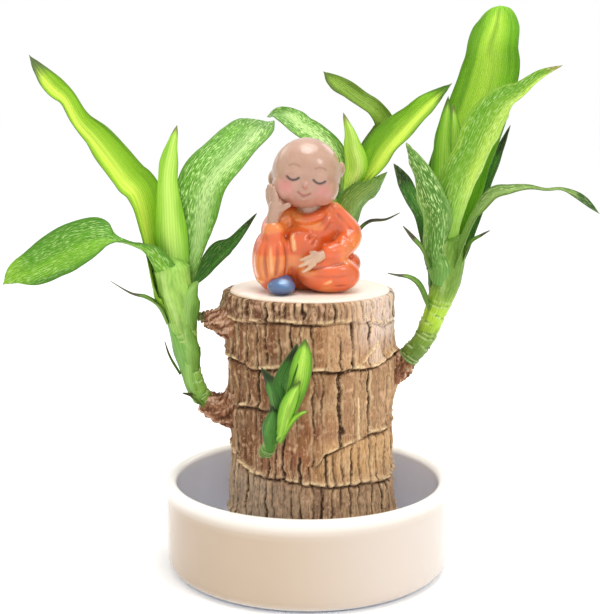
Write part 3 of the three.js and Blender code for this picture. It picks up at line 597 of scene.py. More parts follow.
# A lighter copy of YOUNG: painted light for a young leaf that its neighbours shade.
YOUNG_PAINTED_LIGHT = ("#B8EC50", "#94CE36", "#D8F880", "#B0E060", "#8C8452", -0.2, 0.45, 0.95)
STRIPED = ("#8CC022", "#4C7C16", "#DDF65C", "#8CBE34", "#5E6E44", -0.26, 0.4, 0.93)
SPOTTED = ("#6CA82E", "#3F701C", "#C4E690", "#86BA4C", "#568A22", 0.15, 0.36, 0.86)
GRASSY = ("#5C9A22", "#366A18", "#7CB42A", "#7CA85A", "#84B82A", -0.3, 0.4, 0.9)
SHADED = ("#386C22", "#284E1A", "#528A30", "#4C7E30", "#232F1A", 0.3, 0.25, 0.82)
SHEATH = ("#6A9634", "#4C7426", "#92BA5E", "#6E963A", "#7AA448", 0.1, 0.5, 0.9)
DRY_TIPPED = ("#6C923A", "#4E6E2C", "#94B45E", "#6E963A", "#54463E", 0.0, 0.35, 0.62)
BRACT = ("#4C6C24", "#34481A", "#7A9A3C", "#6A8A34", "#42331F", 0.0, 0.3, 0.6)
BANDED = ("#74B418", "#447C0C", "#BCE44A", "#86BE30", "#8CC62C", -0.14, 0.44, 0.97)
MARGINED = ("#68A020", "#94BE38", "#C8EA50", "#94C850", "#A09048", -0.5, 0.5, 0.93)
PLAIN = ("#7CB82A", "#427618", "#B6E056", "#88BC44", "#547028", 0.1, 0.4, 0.93)
SPECKLED = ("#55862C", "#98C06A", "#7CAC4A", "#72A04A", "#6E983C", 0.85, 0.22, 0.93)
FADED = ("#6F8E40", "#4E662A", "#94AE62", "#6F9A3C", "#2C4E22", 0.1, 0.4, 0.86)
SLENDER = ("#88C024", "#528A14", "#DAF45C", "#9CCC48", "#446E1C", 0.36, 0.44, 0.93)
OLIVE = ("#78992E", "#425A1C", "#90B044", "#6E9030", "#546E26", 0.0, 0.4, 0.95)

# Each leaf is a run of stations from its foot to its tip: x, y, z and the distance between its edges. Then come its
# wrap across in degrees from foot to tip, the ways its upper side looks, its colouring and how flecked it is with
# painted glints.
LEAVES = {
    "left_young_leaf": (
        [(-55, -7, 117, 10), (-56, -11, 136, 13), (-56, -14, 151, 11), (-56, -16, 164, 8),
         (-54, -17, 175, 5.5), (-51, -18, 185, 0.5)],
        [170, 90], [(0.2, 1, 0.1), (0.1, 1, 0)],
        YOUNG, 0.0,
    ),
    "left_tall_leaf": (
        [(-62, -6, 125, 6.5), (-67, -4, 154, 16.5), (-74, -3, 164, 16), (-84, -4, 178, 13),
         (-91, -5, 186, 9), (-96, -6, 195, 7.5), (-100, -8, 199, 9), (-104, -10, 204, 7),
         (-109, -12, 212, 0.5)],
        [120, 40], [(0.9, -0.6, 0.3), (0.7, -1, 0.2), (0.4, -1, 0.2)],
        STRIPED, 0.0,
    ),
    "left_broad_leaf": (
        [(-49, -5, 119, 5), (-45, -8, 138, 14), (-43, -10, 153, 20), (-40, -9, 163, 20.5),
         (-33, -4, 171, 20), (-25, 4, 179, 20), (-21, 13, 184, 16.5), (-17, 22, 185, 6)],
        [130, 40], [(-0.8, -0.5, 0.2), (-0.3, -1, 0.2), (-0.2, -0.8, 0.6), (0, -0.4, 1)],
        SPOTTED, 1.0,
    ),
    "left_drooping_leaf": (
        [(-57, -9, 109, 8), (-59, -12, 123, 13), (-64, -14, 134, 10), (-70, -17, 138, 4),
         (-76, -19, 140, 7.5), (-81, -20, 141, 18), (-91, -20, 138, 19.5), (-99, -18, 134, 19),
         (-109, -16, 129, 15), (-117, -14, 126, 9), (-123, -12, 121, 0.5)],
        [170, 150, 60, 30, 30], [(0.6, 1, 0.2), (0.5, 0.3, 1), (0, -0.9, 0.5), (0, -1, 0.3)],
        GRASSY, 0.55,
    ),
    "left_dark_leaf": (
        [(-48, -3, 119, 3), (-42, 0, 125, 8), (-36, 3, 132, 10), (-31, 5, 136, 5.5), (-26, 7, 142, 3),
         (-21, 8, 148, 0.5)],
        [90, 50], [(-0.6, -1, 0.3), (-0.6, -1, 0.3)],
        SHADED, 0.3,
    ),
    "left_sheath_leaf": (
        [(-49, -14, 101, 7), (-49, -15, 109, 9.5), (-48, -15, 116, 8.5), (-46, -14, 120, 4),
         (-44, -14, 123, 1)],
        [140, 90], [(0, 1, 0), (0, 1, 0)],
        SHEATH, 0.1,
    ),
    "left_clasping_leaf": (
        [(-46, -13, 76, 2), (-47.5, -14, 81, 5.5), (-48, -15, 89, 7.5), (-48, -15, 96, 7.5),
         (-49, -15, 102, 5), (-49, -15, 107, 1)],
        [120, 120], [(0, 1, 0), (0, 1, 0)],
        SHEATH, 0.1,
    ),
    "left_low_leaf": (
        [(-57, -12, 105, 3), (-60, -13, 112, 4), (-65, -14, 116, 3.5), (-71, -15, 118, 2),
         (-79, -15, 123, 0.5)],
        [120, 60], [(0.8, 0, 0.6), (0.3, 0, 1)],
        DRY_TIPPED, 0.1,
    ),
    "left_outer_bract": (
        [(-52, -12, 84, 1.4), (-56, -12, 91, 1.6), (-58, -13, 98, 0.5)],
        [80, 60], [(1, -0.4, 0.5), (1, -0.4, 0.5)],
        BRACT, 0.0,
    ),
    "left_inner_bract": (
        [(-43, -10, 77, 1.6), (-44, -10, 83, 1.8), (-44.5, -10, 89, 1.5), (-44, -9, 95, 0.5)],
        [80, 60], [(-0.6, -1, 0), (-0.6, -1, 0)],
        BRACT, 0.0,
    ),
    "left_foot_leaf": (
        [(-42, -13, 71, 3), (-46, -14, 75, 3), (-51, -15, 77, 0.5)],
        [90, 50], [(-0.4, -0.6, 1), (-0.4, -0.6, 1)],
        BRACT, 0.0,
    ),
    "right_rolled_leaf": (
        [(57, -4, 138, 5), (57.5, -5, 159, 6), (59, -6, 171, 5), (59, -6, 181, 4.5),
         (58, -5, 193, 0.5)],
        [150, 120], [(0.2, -1, 0), (0.2, -1, 0)],
        YOUNG, 0.0,
    ),
    "right_tall_leaf": (
        [(56, 0, 133, 8), (59, 3, 151, 20), (62, 6, 166, 24), (67, 8, 181, 25), (71, 8, 194, 24.5),
         (74, 7, 206, 24), (75, 6, 216, 20.5), (77, 7, 223, 17), (78, 9, 229, 11), (78, 11, 232, 3.5)],
        [120, 40], [(-0.2, -1, 0.2), (-0.1, -1, 0.2), (0, -1, 0.4)],
        BANDED, 0.12,
    ),
    "right_pointed_leaf": (
        [(56, -9, 134, 8), (58, -13, 150, 13.5), (61, -16, 163, 16.5), (66, -18, 174, 16.5),
         (70, -18, 184, 17.5), (76, -17, 193, 13.5), (83, -15, 198, 8), (91, -13, 204, 5),
         (100, -10, 208, 0.5)],
        [140, 50], [(-0.2, 1, 0.2), (-0.4, 1, 0.3), (-0.4, 0.8, 0.6)],
        MARGINED, 0.6,
    ),
    "right_upright_leaf": (
        [(54, -2, 133, 6), (55, 0, 154, 9.5), (55, 2, 167, 11), (55, 3, 179, 7.5), (56, 3, 188, 4.5),
         (57, 4, 196, 0.5)],
        [120, 60], [(0.3, -1, 0.1), (0.2, -1, 0.1)],
        PLAIN, 0.1,
    ),
    "right_spotted_leaf": (
        [(51, -12, 135, 8), (51, -16, 148, 11.5), (48, -20, 157, 11), (44, -21, 166, 8.5),
         (40, -19, 173, 6.5), (39, -14, 178, 2)],
        [130, 60], [(0.3, 1, 0.2), (0.2, 1, 0.5), (0.2, 0.6, 1)],
        SPECKLED, 0.9,
    ),
    "right_shaded_leaf": (
        [(50, 2, 131, 5), (47, 6, 146, 7.5), (43, 10, 154, 7), (40, 13, 161, 6.5), (36, 15, 168, 1)],
        [100, 50], [(0.7, -1, 0.2), (0.5, -1, 0.4)],
        SHADED, 0.3,
    ),
    "right_arching_leaf": (
        [(59, -11, 129, 5), (65, -17, 147, 4), (68, -19, 152, 5.5), (73, -21, 158, 7),
         (79, -22, 160, 5), (86, -22, 161, 3), (93, -21, 160, 2), (100, -19, 160, 2),
         (108, -17, 156, 4), (116, -14, 150, 0.5)],
        [110, 60], [(-0.7, -0.5, 0.7), (-0.3, -0.8, 1), (0, -0.6, 1), (0.3, -1, 0.6)],
        FADED, 0.5,
    ),
    "right_shaded_outer_leaf": (
        [(62, 1, 128, 5), (71, 6, 152, 7), (76, 10, 165, 6), (80, 12, 174, 4), (84, 13, 184, 0.5)],
        [110, 60], [(-0.8, -0.8, 0.3), (-0.8, -0.8, 0.3)],
        SHADED, 0.2,
    ),
    "right_dried_tip_leaf": (
        [(49, -11, 128, 2.5), (46, -12, 135, 3), (42, -13, 140, 3), (38, -13, 145, 0.5)],
        [100, 60], [(0.6, -0.4, 0.8), (0.3, -0.6, 0.8)],
        DRY_TIPPED, 0.2,
    ),
    "right_low_outer_leaf": (
        [(61, -8, 125, 3.5), (65, -10, 137, 3), (70, -11, 141, 2), (73, -11, 143, 0.5)],
        [110, 60], [(-0.8, -0.3, 0.6), (-0.3, -0.3, 1)],
        DRY_TIPPED, 0.2,
    ),
    "right_low_inner_leaf": (
        [(49, -10, 111, 4), (45, -12, 120, 4.5), (41, -13, 124, 3), (36, -13, 125, 1.5),
         (32, -13, 126, 0.5)],
        [110, 60], [(0.8, -0.4, 0.5), (0.1, -0.4, 1)],
        DRY_TIPPED, 0.2,
    ),
    "back_young_leaf": (
        [(18, 31, 140, 5), (19, 27, 157, 7.5), (21, 25, 166, 10.5), (19, 23, 174, 7.5),
         (18, 22, 180, 4.5), (15, 21, 189, 0.5)],
        [150, 80], [(0, 1, 0.2), (0, 1, 0)],
        YOUNG_PAINTED_LIGHT, 0.0,
    ),
    "back_long_leaf": (
        [(20, 34, 141, 5), (24, 31, 159, 10.5), (28, 29, 166, 13), (33, 28, 174, 15.5),
         (39, 27, 181, 14), (45, 26, 187, 11), (51, 26, 193, 8.5), (61, 26, 201, 0.5)],
        [120, 50], [(-0.6, -0.8, 0.4), (-0.5, -1, 0.4)],
        SLENDER, 0.05,
    ),
    "back_spotted_leaf": (
        [(16, 36, 139, 5), (14, 34, 160, 8.5), (11, 34, 171, 11), (4, 38, 178, 11),
         (-3, 44, 182, 12.5), (-8, 51, 186, 13), (-13, 58, 188, 8), (-18, 62, 186, 2)],
        [120, 40], [(0.6, -0.8, 0.3), (0.4, -0.9, 0.4), (0.2, -0.7, 0.8)],
        SPOTTED, 1.0,
    ),
    "back_arching_leaf": (
        [(19, 39, 137, 5), (21, 42, 155, 6.5), (27, 45, 171, 8), (34, 46, 182, 9), (30, 45, 189, 8.5),
         (24, 44, 193, 9), (17, 42, 198, 9), (11, 40, 202, 6.5), (7, 39, 206, 0.5)],
        [110, 50], [(-0.6, -0.8, 0.2), (-0.6, -0.9, 0.1), (0.3, -1, 0.6), (0.4, -1, 0.5)],
        OLIVE, 0.15,
    ),
    "back_sheath_leaf": (
        [(16, 33, 127, 4), (17, 29, 136, 8), (19, 27, 147, 13), (23, 26, 153, 12.5),
         (28, 25, 157, 8.5), (34, 24, 164, 0.5)],
        [150, 70], [(-0.3, 1, 0.2), (-0.5, 1, 0.5)],
        SHEATH, 0.3,
    ),
    "back_shaded_leaf": (
        [(17, 33, 129, 4), (15, 30, 137, 7), (13, 28.5, 142, 7), (10, 27, 148, 1)],
        [130, 70], [(0.3, 1, 0.2), (0.3, 1, 0.2)],
        SHADED, 0.1,
    ),
    "back_low_leaf": (
        [(17, 35, 125, 3), (22, 31, 137, 2.8), (27, 30, 142, 2.2), (34, 29, 143, 1.6),
         (40, 29, 146, 0.5)],
        [110, 60], [(-0.8, -0.4, 0.5), (-0.2, -0.5, 1)],
        DRY_TIPPED, 0.1,
    ),
    "back_rear_leaf": (
        [(15, 44, 119, 5), (16, 53, 141, 11), (15, 64, 156, 13), (12, 76, 160, 11), (9, 87, 156, 1)],
        [130, 50], [(0, -1, 0.4), (0, -0.6, 1), (0, 0, 1)],
        GRASSY, 0.4,
    ),
    "front_light_leaf": (
        [(-7, -44, 78, 5), (-4, -46, 88, 7.5), (-3, -47, 95, 8.5), (-2, -47, 100, 6.5),
         (-1, -46, 106, 0.5)],
        [110, 60], [(0.2, -1, 0), (0.2, -1, 0)],
        PLAIN, 0.1,
    ),
    "front_shaded_leaf": (
        [(-9, -43, 75, 5), (-9.5, -45, 84, 7.5), (-8.5, -46, 90, 8), (-6, -46, 97, 5.5),
         (-4, -45.5, 104, 0.5)],
        [110, 60], [(-0.2, -1, 0.1), (-0.3, -1, 0.1)],
        SHADED, 0.1,
    ),
    "front_left_leaf": (
        [(-12, -42, 70, 5), (-12, -44.5, 80, 8), (-14, -45, 87, 6), (-18, -43, 94, 0.5)],
        [120, 70], [(0.4, 1, 0), (0.5, 1, 0)],
        SHADED, 0.0,
    ),
    "front_right_leaf": (
        [(-10, -43, 67, 4), (-8, -46.5, 76, 6.5), (-6, -48, 83, 6), (-3, -48, 90, 0.5)],
        [120, 70], [(-0.4, 1, 0), (-0.5, 1, 0)],
        PLAIN, 0.1,
    ),
    "front_sheath_leaf": (
        [(-15, -39, 59, 3), (-14.5, -42.5, 66, 7), (-14, -44.5, 71, 7.5), (-13.5, -46, 76, 4),
         (-14, -46, 80, 0.5)],
        [130, 80], [(0, 1, 0), (0, 1, 0)],
        SHADED, 0.1,
    ),
    "front_low_leaf": (
        [(-11, -43, 64, 2), (-6, -45, 73, 2.4), (-3, -45, 76, 1.8), (0, -44, 77, 0.5)],
        [90, 60], [(-0.6, -0.8, 0.6), (-0.2, -0.8, 0.6)],
        PLAIN, 0.0,
    ),
}

# Each stem is a run of points on its axis, a radius at each and its colours from foot to top.
STEMS = {
    "left_stem": (
        [(-41, -9, 72), (-44, -10, 76), (-47, -11, 84), (-48.5, -11, 94), (-51, -10, 106), (-53.5, -9, 117),
         (-55, -9, 127), (-56, -9, 132)],
        [3.6, 3.4, 3.4, 3.8, 5.4, 7.4, 7.2, 2.0],
        ("#6F8F36", "#84AC44", "#8FBC4E", "#86B046", "#93BC52", "#A0CA5A", "#9CC858", "#8FBC4E"),
    ),
    "right_stem": (
        [(39, -2, 86), (43, -4, 91), (48, -5, 98), (52, -6, 108), (55.5, -7, 119), (57, -7, 129), (57.5, -6, 138),
         (57.5, -6, 142)],
        [4.4, 4.2, 4, 4.4, 5.8, 6.8, 6.4, 2.0],
        ("#4E6220", "#5E7828", "#7C9C34", "#B4D83C", "#7A9C36", "#6C9030", "#6C9434", "#6C9434"),
    ),
    "back_stem": (
        [(10, 37, 104), (13, 40, 111), (15, 40, 120), (16, 38, 130), (18, 35, 140)],
        [3.6, 3.4, 3.2, 3.4, 3.2], ("#6E8C2C", "#7FA645", "#86AC46", "#7FA348", "#86AE52"),
    ),
    "front_stem": (
        [(-17, -33, 57), (-15, -37, 61), (-13, -40, 68), (-10, -42, 75)],
        [2.4, 2.4, 2, 1.2], ("#5B7A2A", "#6E9A34", "#7FB03C", "#86B84A"),
    ),
}
TIGHTEST_FOLD = 1.4

# The leaves whose feet clasp a stem as sheaths: the stem, how far down it the sheath goes, and how far off the stem it
# lies. Later leaves are younger, so they clasp further in.
SHEATHS = {
    "left_drooping_leaf": ("left_stem", 22, 1.2),
    "left_tall_leaf": ("left_stem", 16, 0.9),
    "left_broad_leaf": ("left_stem", 14, 0.6),
    "left_sheath_leaf": ("left_stem", 12, 0.7),
    "left_clasping_leaf": ("left_stem", 3, 0.4),
    "right_spotted_leaf": ("right_stem", 12, 0.9),
    "right_tall_leaf": ("right_stem", 12, 0.6),
    "right_upright_leaf": ("right_stem", 10, 0.3),
    "right_shaded_outer_leaf": ("right_stem", 14, 1.0),
    "right_shaded_leaf": ("right_stem", 14, 1.0),
    "back_sheath_leaf": ("back_stem", 12, 1.1),
    "back_arching_leaf": ("back_stem", 14, 0.9),
    "back_long_leaf": ("back_stem", 14, 0.7),
    "back_spotted_leaf": ("back_stem", 14, 0.6),
    "back_young_leaf": ("back_stem", 10, 0.3),
    "back_low_leaf": ("back_stem", 10, 1.3),
    "back_rear_leaf": ("back_stem", 10, 0.6),
    "front_light_leaf": ("front_stem", 8, 0.4),
    "front_shaded_leaf": ("front_stem", 8, 0.6),
    "front_left_leaf": ("front_stem", 7, 0.5),
    "front_right_leaf": ("front_stem", 6, 0.3),
}
DRIED_BUD = ([(-39, -8, 106.5), (-43.5, -9, 107.5), (-46, -9, 108)], [2.8, 2.2, 0.9])


def with_sheath(name, stations, wrap, ways):
    """A leaf's stations, wrap and ways with a foot added that clasps its stem, spread evenly along the whole."""
    stem, drop, off = SHEATHS[name]
    axis, radii, _ = STEMS[stem]
    share = np.linspace(0, 1, 200)
    line, thick = smooth(np.array(axis, float), share), spread(radii, share)
    foot = stations[0]
    near = np.argmin(np.linalg.norm(line - foot[:3], axis=1))
    step = np.linalg.norm(np.diff(line, axis=0), axis=1).mean()
    added = []
    for part in (1.0, 0.5):
        at = max(int(near - part * drop / step), 2)
        along = unit(line[at + 1] - line[at - 1])
        inward = np.array(ways[0], float) * (1, 1, 0) + 0.6 * (line[near] - foot[:3]) / max(thick[near], 1)
        inward = unit(inward - (inward @ along) * along)
        radius = thick[at] + off * (0.4 if part == 1 else 0.85)
        added.append([*(line[at] - inward * radius), (0.9 if part == 1 else 2) * radius])
    foot = [*foot[:3], max(foot[3], 1.25 * (thick[near] + off))]
    whole = np.vstack([added, [foot], stations[1:]])
    # The stations are not evenly spaced now, so they are spread again by length.
    gaps = np.r_[0, np.cumsum(np.linalg.norm(np.diff(whole[:, :3], axis=0), axis=1))]
    gaps = 0.5 * gaps / gaps[-1] + 0.5 * np.linspace(0, 1, len(gaps))
    count = 3 * len(whole)
    at = np.interp(np.linspace(0, 1, count), gaps, np.linspace(0, 1, len(whole)))
    sheath = np.clip((at - 1 / (len(whole) - 1)) / (1 - 1 / (len(whole) - 1)), 0, 1)
    spread_wrap = np.where(at < 2 / (len(whole) - 1), 170, spread(wrap, sheath))
    spread_wrap = np.convolve(np.pad(spread_wrap, 2, "edge"), [0.1, 0.2, 0.4, 0.2, 0.1], "valid")
    return smooth(whole, at), spread_wrap, smooth(np.array(ways, float), sheath)


def leaf_skin(name, thickness):
    """A blade's closed skin: points, faces, colours, place across and along in millimetres, and glint fleck share."""
    stations, wrap, faces_to, look, flecks = LEAVES[name]
    stations = np.array(stations, float)
    if name in SHEATHS:
        stations, wrap, faces_to = with_sheath(name, stations, wrap, faces_to)
    seed = sorted(LEAVES).index(name) + 200
    length = np.linalg.norm(np.diff(stations[:, :3], axis=0), axis=1).sum()
    widest = stations[:, 3].max()
    rows = int(np.clip(length * 1.1, 34, 120))
    columns = int(np.clip(widest * 1.6, 10, 34))
    share = np.linspace(0, 1, rows)
    centre = smooth(stations[:, :3], share)
    ahead, behind = (smooth(stations[:, :3], np.clip(share + step, 0, 1)) for step in (0.02, -0.02))
    along = unit(ahead - behind)
    up = smooth(np.array(faces_to, float), share)
    up = unit(up - (up * along).sum(1, keepdims=True) * along)
    side = np.cross(along, up)
    width = np.maximum(0.3, smooth(stations[:, 3], share)[:, 0])
    # The last stretch narrows to a point in a curve, as a grown tip does.
    width = np.where(share > 0.97, width * np.sqrt(np.clip((1 - share) / 0.03, 0.02, 1)), width)
    bend = np.radians(spread(wrap, share)) / 2
    radius = np.maximum(TIGHTEST_FOLD, width / 2 / np.sin(np.minimum(bend, math.pi / 2)))
    reach = np.minimum(bend, np.arcsin(np.minimum(1, width / 2 / radius)) + 0.01)
    across = np.sin(np.linspace(-1, 1, columns) * math.pi / 2) * 0.35 + np.linspace(-1, 1, columns) * 0.65
    s, c = np.meshgrid(share, across, indexing="ij")
    angle = c * reach[:, None]
    cos, sin = np.cos(angle)[..., None], np.sin(angle)[..., None]
    out = up[:, None] * cos - side[:, None] * sin
    curl = radius[:, None, None]
    middle = centre[:, None] + side[:, None] * curl * sin + up[:, None] * curl * (1 - cos)
    mm = np.minimum(1, width / 10)[:, None]
    # Blades are fluted along their veins, folded a little at the midrib and wavy at the edges.
    flutes = 0.1 * np.sin(c * width[:, None] * 1.9) + 0.16 * grain(seed, c * 0.45 + 0.5, s, 12, 9)
    fold = -0.55 * bell(c, 0.2) * ramp(s, 0, 0.15) * ramp(s, 1, 0.9)
    waves = 0.9 * np.abs(c) ** 3 * grain(seed + 40, np.sign(c) * 0.2 + 0.5, s, 3, max(4, int(length / 9)))
    middle = middle + out * ((flutes + fold + waves) * mm)[..., None]
    half = thickness / 2 * np.sqrt(np.clip(1 - 0.75 * np.abs(c) ** 4, 0.1, 1)) * np.clip(width / 3, 0.45, 1)[:, None]
    upper, lower = middle + out * half[..., None], middle - out * half[..., None]
    points = np.concatenate([upper, lower[:, ::-1]], 1).reshape(-1, 3)
    points, faces = capped(points, rows, 2 * columns)
    s, c = (np.concatenate([g, g[:, ::-1]], 1) for g in (s, c))
    w = np.repeat(width[:, None], 2 * columns, 1)
    colour, fleck = blade_colour(look, s, c, w, seed, flecks)
    place = np.stack([c * w / 2, s * length, np.zeros_like(s)], -1)
    ends = [with_ends(values.reshape(rows * 2 * columns, -1), rows, 2 * columns) for values in (colour, place, fleck)]
    return points, faces, ends[0], ends[1], ends[2][:, 0]


def blade_colour(look, s, c, width, seed, flecks):
    blade, edge, pale_stripe_and_highlight, foot, tip, stripe_at, stripe_width, tip_from = look
    over = c * 0.45 + 0.5
    streaks = grain(seed + 80, over, s, 26, 3)
    colour = np.tile(linear(blade), (*s.shape, 1))
    colour = blend(colour, edge, 0.55 * ramp(np.abs(c) + 0.12 * streaks, 0.62, 1.0))
    # The stripe: partly the midrib's paler green, partly a painted highlight along the curve that faces the light.
    band = bell(c - stripe_at + 0.1 * streaks, stripe_width) * ramp(s, 1.02, 0.9)
    colour = blend(colour, pale_stripe_and_highlight, np.clip(band * (1 + 0.25 * streaks), 0, 1))
    colour = blend(colour, foot, 0.8 * ramp(s + 0.04 * streaks, 0.32, 0.05))
    colour = blend(colour, edge, 0.45 * ramp(grain(seed + 120, over, s, 9, 5), 0.15, 0.8))
    colour = blend(colour, tip, ramp(s + 0.02 * streaks + 0.03 * np.abs(c), tip_from - 0.03, tip_from + 0.05))
    # The very edge dries to a thin dull line.
    rim = ramp((1 - np.abs(c)) * width / 2, 0.45, 0.0)
    colour = blend(colour, "#5F6E3A", 0.5 * rim)
    patchy = 0.75 + 0.5 * grain(seed + 160, over, s, 6, 6)
    # Flecks of painted glint, thinning out at the foot and the edges.
    fleck = flecks * ramp(s, 0.03, 0.25) * ramp(np.abs(c), 1.0, 0.8) * patchy
    return colour, np.clip(fleck, 0, 1)


def make_leaves(settings):
    thickness = settings.thickness / MM
    plain, flecked = living_leaf("living_leaf_plain", 0.5), living_leaf("living_leaf_flecked", 0.85)
    for name in LEAVES:
        points, faces, colour, place, fleck = leaf_skin(name, thickness)
        material = flecked if LEAVES[name][4] > 0.2 else plain
        put(name + "_blade", points, faces, material, "leaf", name, colour, leaf_mm=place, fleck=fleck)


def make_stems():
    material = living_leaf("living_stem", 0.4)
    for index, (name, (axis, radii, hues)) in enumerate(STEMS.items()):
        rows, columns = 120, 48

        def levels(s, t, rings=2 * len(axis)):
            """How far each point is between one slanting ring and the next, and how bare the stem is there."""
            return (s * rings + 0.25 * np.cos(t + 2.1 * np.floor(s * rings))) % 1, ramp(s, 0.62, 0.42)

        def sheaths(s, t, seed=300 + index):
            # Each old leaf left a sheath: it swells, then steps in at a slanting scar.
            level, bare = levels(s, t)
            ribs = 0.08 * np.sin(14 * t)
            dents = 0.2 * grain(seed, t / (2 * math.pi), s, 9, 14)
            return bare * (0.5 * level**3 - 0.35 * bell(level, 0.1)) + ribs + dents

        ring, s, t = limb_rings(axis, radii, rows, columns, sheaths)
        points, faces = capped(ring, rows, columns)
        level, bare = levels(s, t)
        colour = smooth([linear(hue) for hue in hues], s)
        # Each sheath's swollen top is pale, partly its own margin and partly painted highlight; the dent where the stem
        # steps in is darkened as painted shade.
        colour = blend(colour, "#D5E6A6", 0.55 * bare * bell(level - 0.94, 0.07))
        colour = blend(colour, "#3E5A1E", 0.7 * bare * bell(level, 0.08))
        # Higher up the feet of the leaves run together, and only their pale margins show;
        # part of their paleness is painted highlight.
        margin = bell(np.cos(t + 1.0) - 0.6 + 0.8 * (s - 0.7), 0.09)
        colour = blend(colour, "#CBE08C", 0.6 * (1 - bare) * margin)
        colour = blend(colour, "#5C7F2C", 0.5 * ramp(grain(310 + index, t / (2 * math.pi), s, 16, 9), 0.1, 0.8))
        colour = np.clip(colour, 0, 1)
        place = np.stack([t * 3.4, s * 60, 0 * s], -1)
        ends = [with_ends(values, rows, columns) for values in (colour, place, 0.25 + 0 * s)]
        put(name + "_skin", points, faces, material, "green_stem", name, ends[0], leaf_mm=ends[1], fleck=ends[2])


def make_bud():
    rows, columns = 40, 32
    scales = lambda s, t: 0.4 * grain(330, t / (2 * math.pi), s, 9, 10) - 0.35 * np.abs(np.sin(5 * math.pi * s)) ** 6
    ring, s, t = limb_rings(DRIED_BUD[0], DRIED_BUD[1], rows, columns, scales)
    points, faces = capped(ring, rows, columns)
    colour = np.tile(linear("#5D6A34"), (len(s), 1))
    colour = blend(colour, "#7A4A40", ramp(s, 0.55, 0.2))
    colour = blend(colour, "#3B2A20", 0.7 * ramp(grain(331, t / (2 * math.pi), s, 9, 9), 0.0, 0.6))
    put("dried_bud_skin", points, faces, dry_bark(), "bark", "dried_bud", with_ends(colour, rows, columns))


# ---- Figurine ----

SEAT = 118.0
HEAD = (-0.5, -6.0, 47.5)
HEAD_HALVES = (14.0, 13.2, 14.3)
HEAD_TURN = (-4, 8, 0)

# Each blob is a centre, its half sizes and its turn in degrees. Each limb is points on its axis and a radius at each.
ROBE = [
    ((2, -1, 11), (17, 12, 13), (0, 0, 0)),
    ((2.5, -2, 25), (12, 9.2, 11.5), (0, 0, 0)),
    ((-14, -11.5, 13), (7.6, 7.8, 12.5), (0, 4, 0)),
    ((-17, -4, 13), (5.8, 8, 11.5), (0, 4, 0)),
    ((8, -12, 8), (13.2, 8.3, 8.2), (0, 6, 0)),
    ((-3, -8, 15), (10, 7.6, 12), (0, 0, 0)),
    ((18.2, -7, 11), (3.4, 4.6, 4.2), (0, 0, 0)),
    ([(-5, -2, 31), (-13, -6, 27), (-14.5, -12, 22)], [4.6, 5, 4.6]),
    ([(-13.5, -13, 19), (-14, -13.4, 24), (-13.6, -13.2, 25.2)], [4.4, 4.1, 4.4]),
    ([(10, -3, 31), (17, -6, 23), (14, -11.5, 18), (9, -15.6, 16.4)], [5, 5.2, 4.4, 3.9]),
    ([(-7, -5, 31.5), (-2, -10.5, 29.2), (4, -10.5, 30.4), (9, -5, 33)], [2.1, 2.0, 2.0, 2.1]),
]
SKIN = [
    ((-12.4, -13.6, 34.4), (3.3, 2.8, 4.0), (0, 14, 0)),
    ([(-13.8, -13.2, 23), (-14, -13.4, 29), (-13, -13.2, 33)], [2.9, 2.6, 2.7]),
    ([(-11.8, -14.8, 35), (-12.8, -14.6, 39), (-13.4, -13.6, 42)], [1.4, 1.3, 1.05]),
    ([(-13.2, -13.4, 35), (-14.2, -12.8, 39), (-14.6, -11.8, 42.8)], [1.4, 1.3, 1.05]),
    ([(-14.2, -11.6, 35), (-15.2, -10.8, 39), (-15.4, -9.6, 42.4)], [1.4, 1.3, 1.05]),
    ([(-14.6, -9.8, 34.6), (-15.7, -8.6, 38), (-16, -7.4, 41)], [1.3, 1.2, 1.0]),
    ([(-10.8, -15, 33.6), (-9, -16, 35), (-7.6, -16, 35.6)], [1.4, 1.3, 1.1]),
    ((3.8, -18, 14.9), (3.2, 2.0, 2.2), (0, -24, 0)),
    ([(9, -15.4, 16.6), (5.6, -17, 15.6), (3.6, -18, 15)], [2.3, 2.1, 2.0]),
    ([(2.4, -18.8, 15.9), (-0.4, -19.2, 14.9), (-2.8, -18.8, 14.0)], [0.95, 0.85, 0.65]),
    ([(2.2, -19.2, 14.1), (-0.8, -19.7, 12.7), (-3.2, -19.2, 11.6)], [0.95, 0.85, 0.65]),
    ([(2.6, -19.2, 12.5), (0.2, -19.8, 10.7), (-1.8, -19.6, 9.5)], [0.95, 0.85, 0.65]),
    ([(4.2, -18.6, 16.2), (2.6, -18.8, 17), (1.2, -18.2, 17)], [1.0, 0.9, 0.75]),
    ([(0.5, -4.4, 36), (1, -4.2, 32), (1.4, -3.6, 28)], [5.6, 5.2, 5.6]),
]
CHEEKS = [((-7, -10.2, 42.6), (7.4, 6.4, 7.2), (0, 0, 0)), ((5, -10.2, 42), (7.4, 6.4, 7.2), (0, 0, 0))]
EARS = [((-14.3, -4.4, 45.6), (1.7, 2.2, 3.3), (0, 8, 0)), ((13.4, -3.4, 48.6), (1.7, 2.2, 3.3), (0, 8, 0))]
SHOE = [((-10.5, -18, 3.4), (5.7, 5.5, 3.5), (0, 0, 0)), ((-10.5, -14.5, 4), (5, 5, 3.8), (0, 0, 0))]

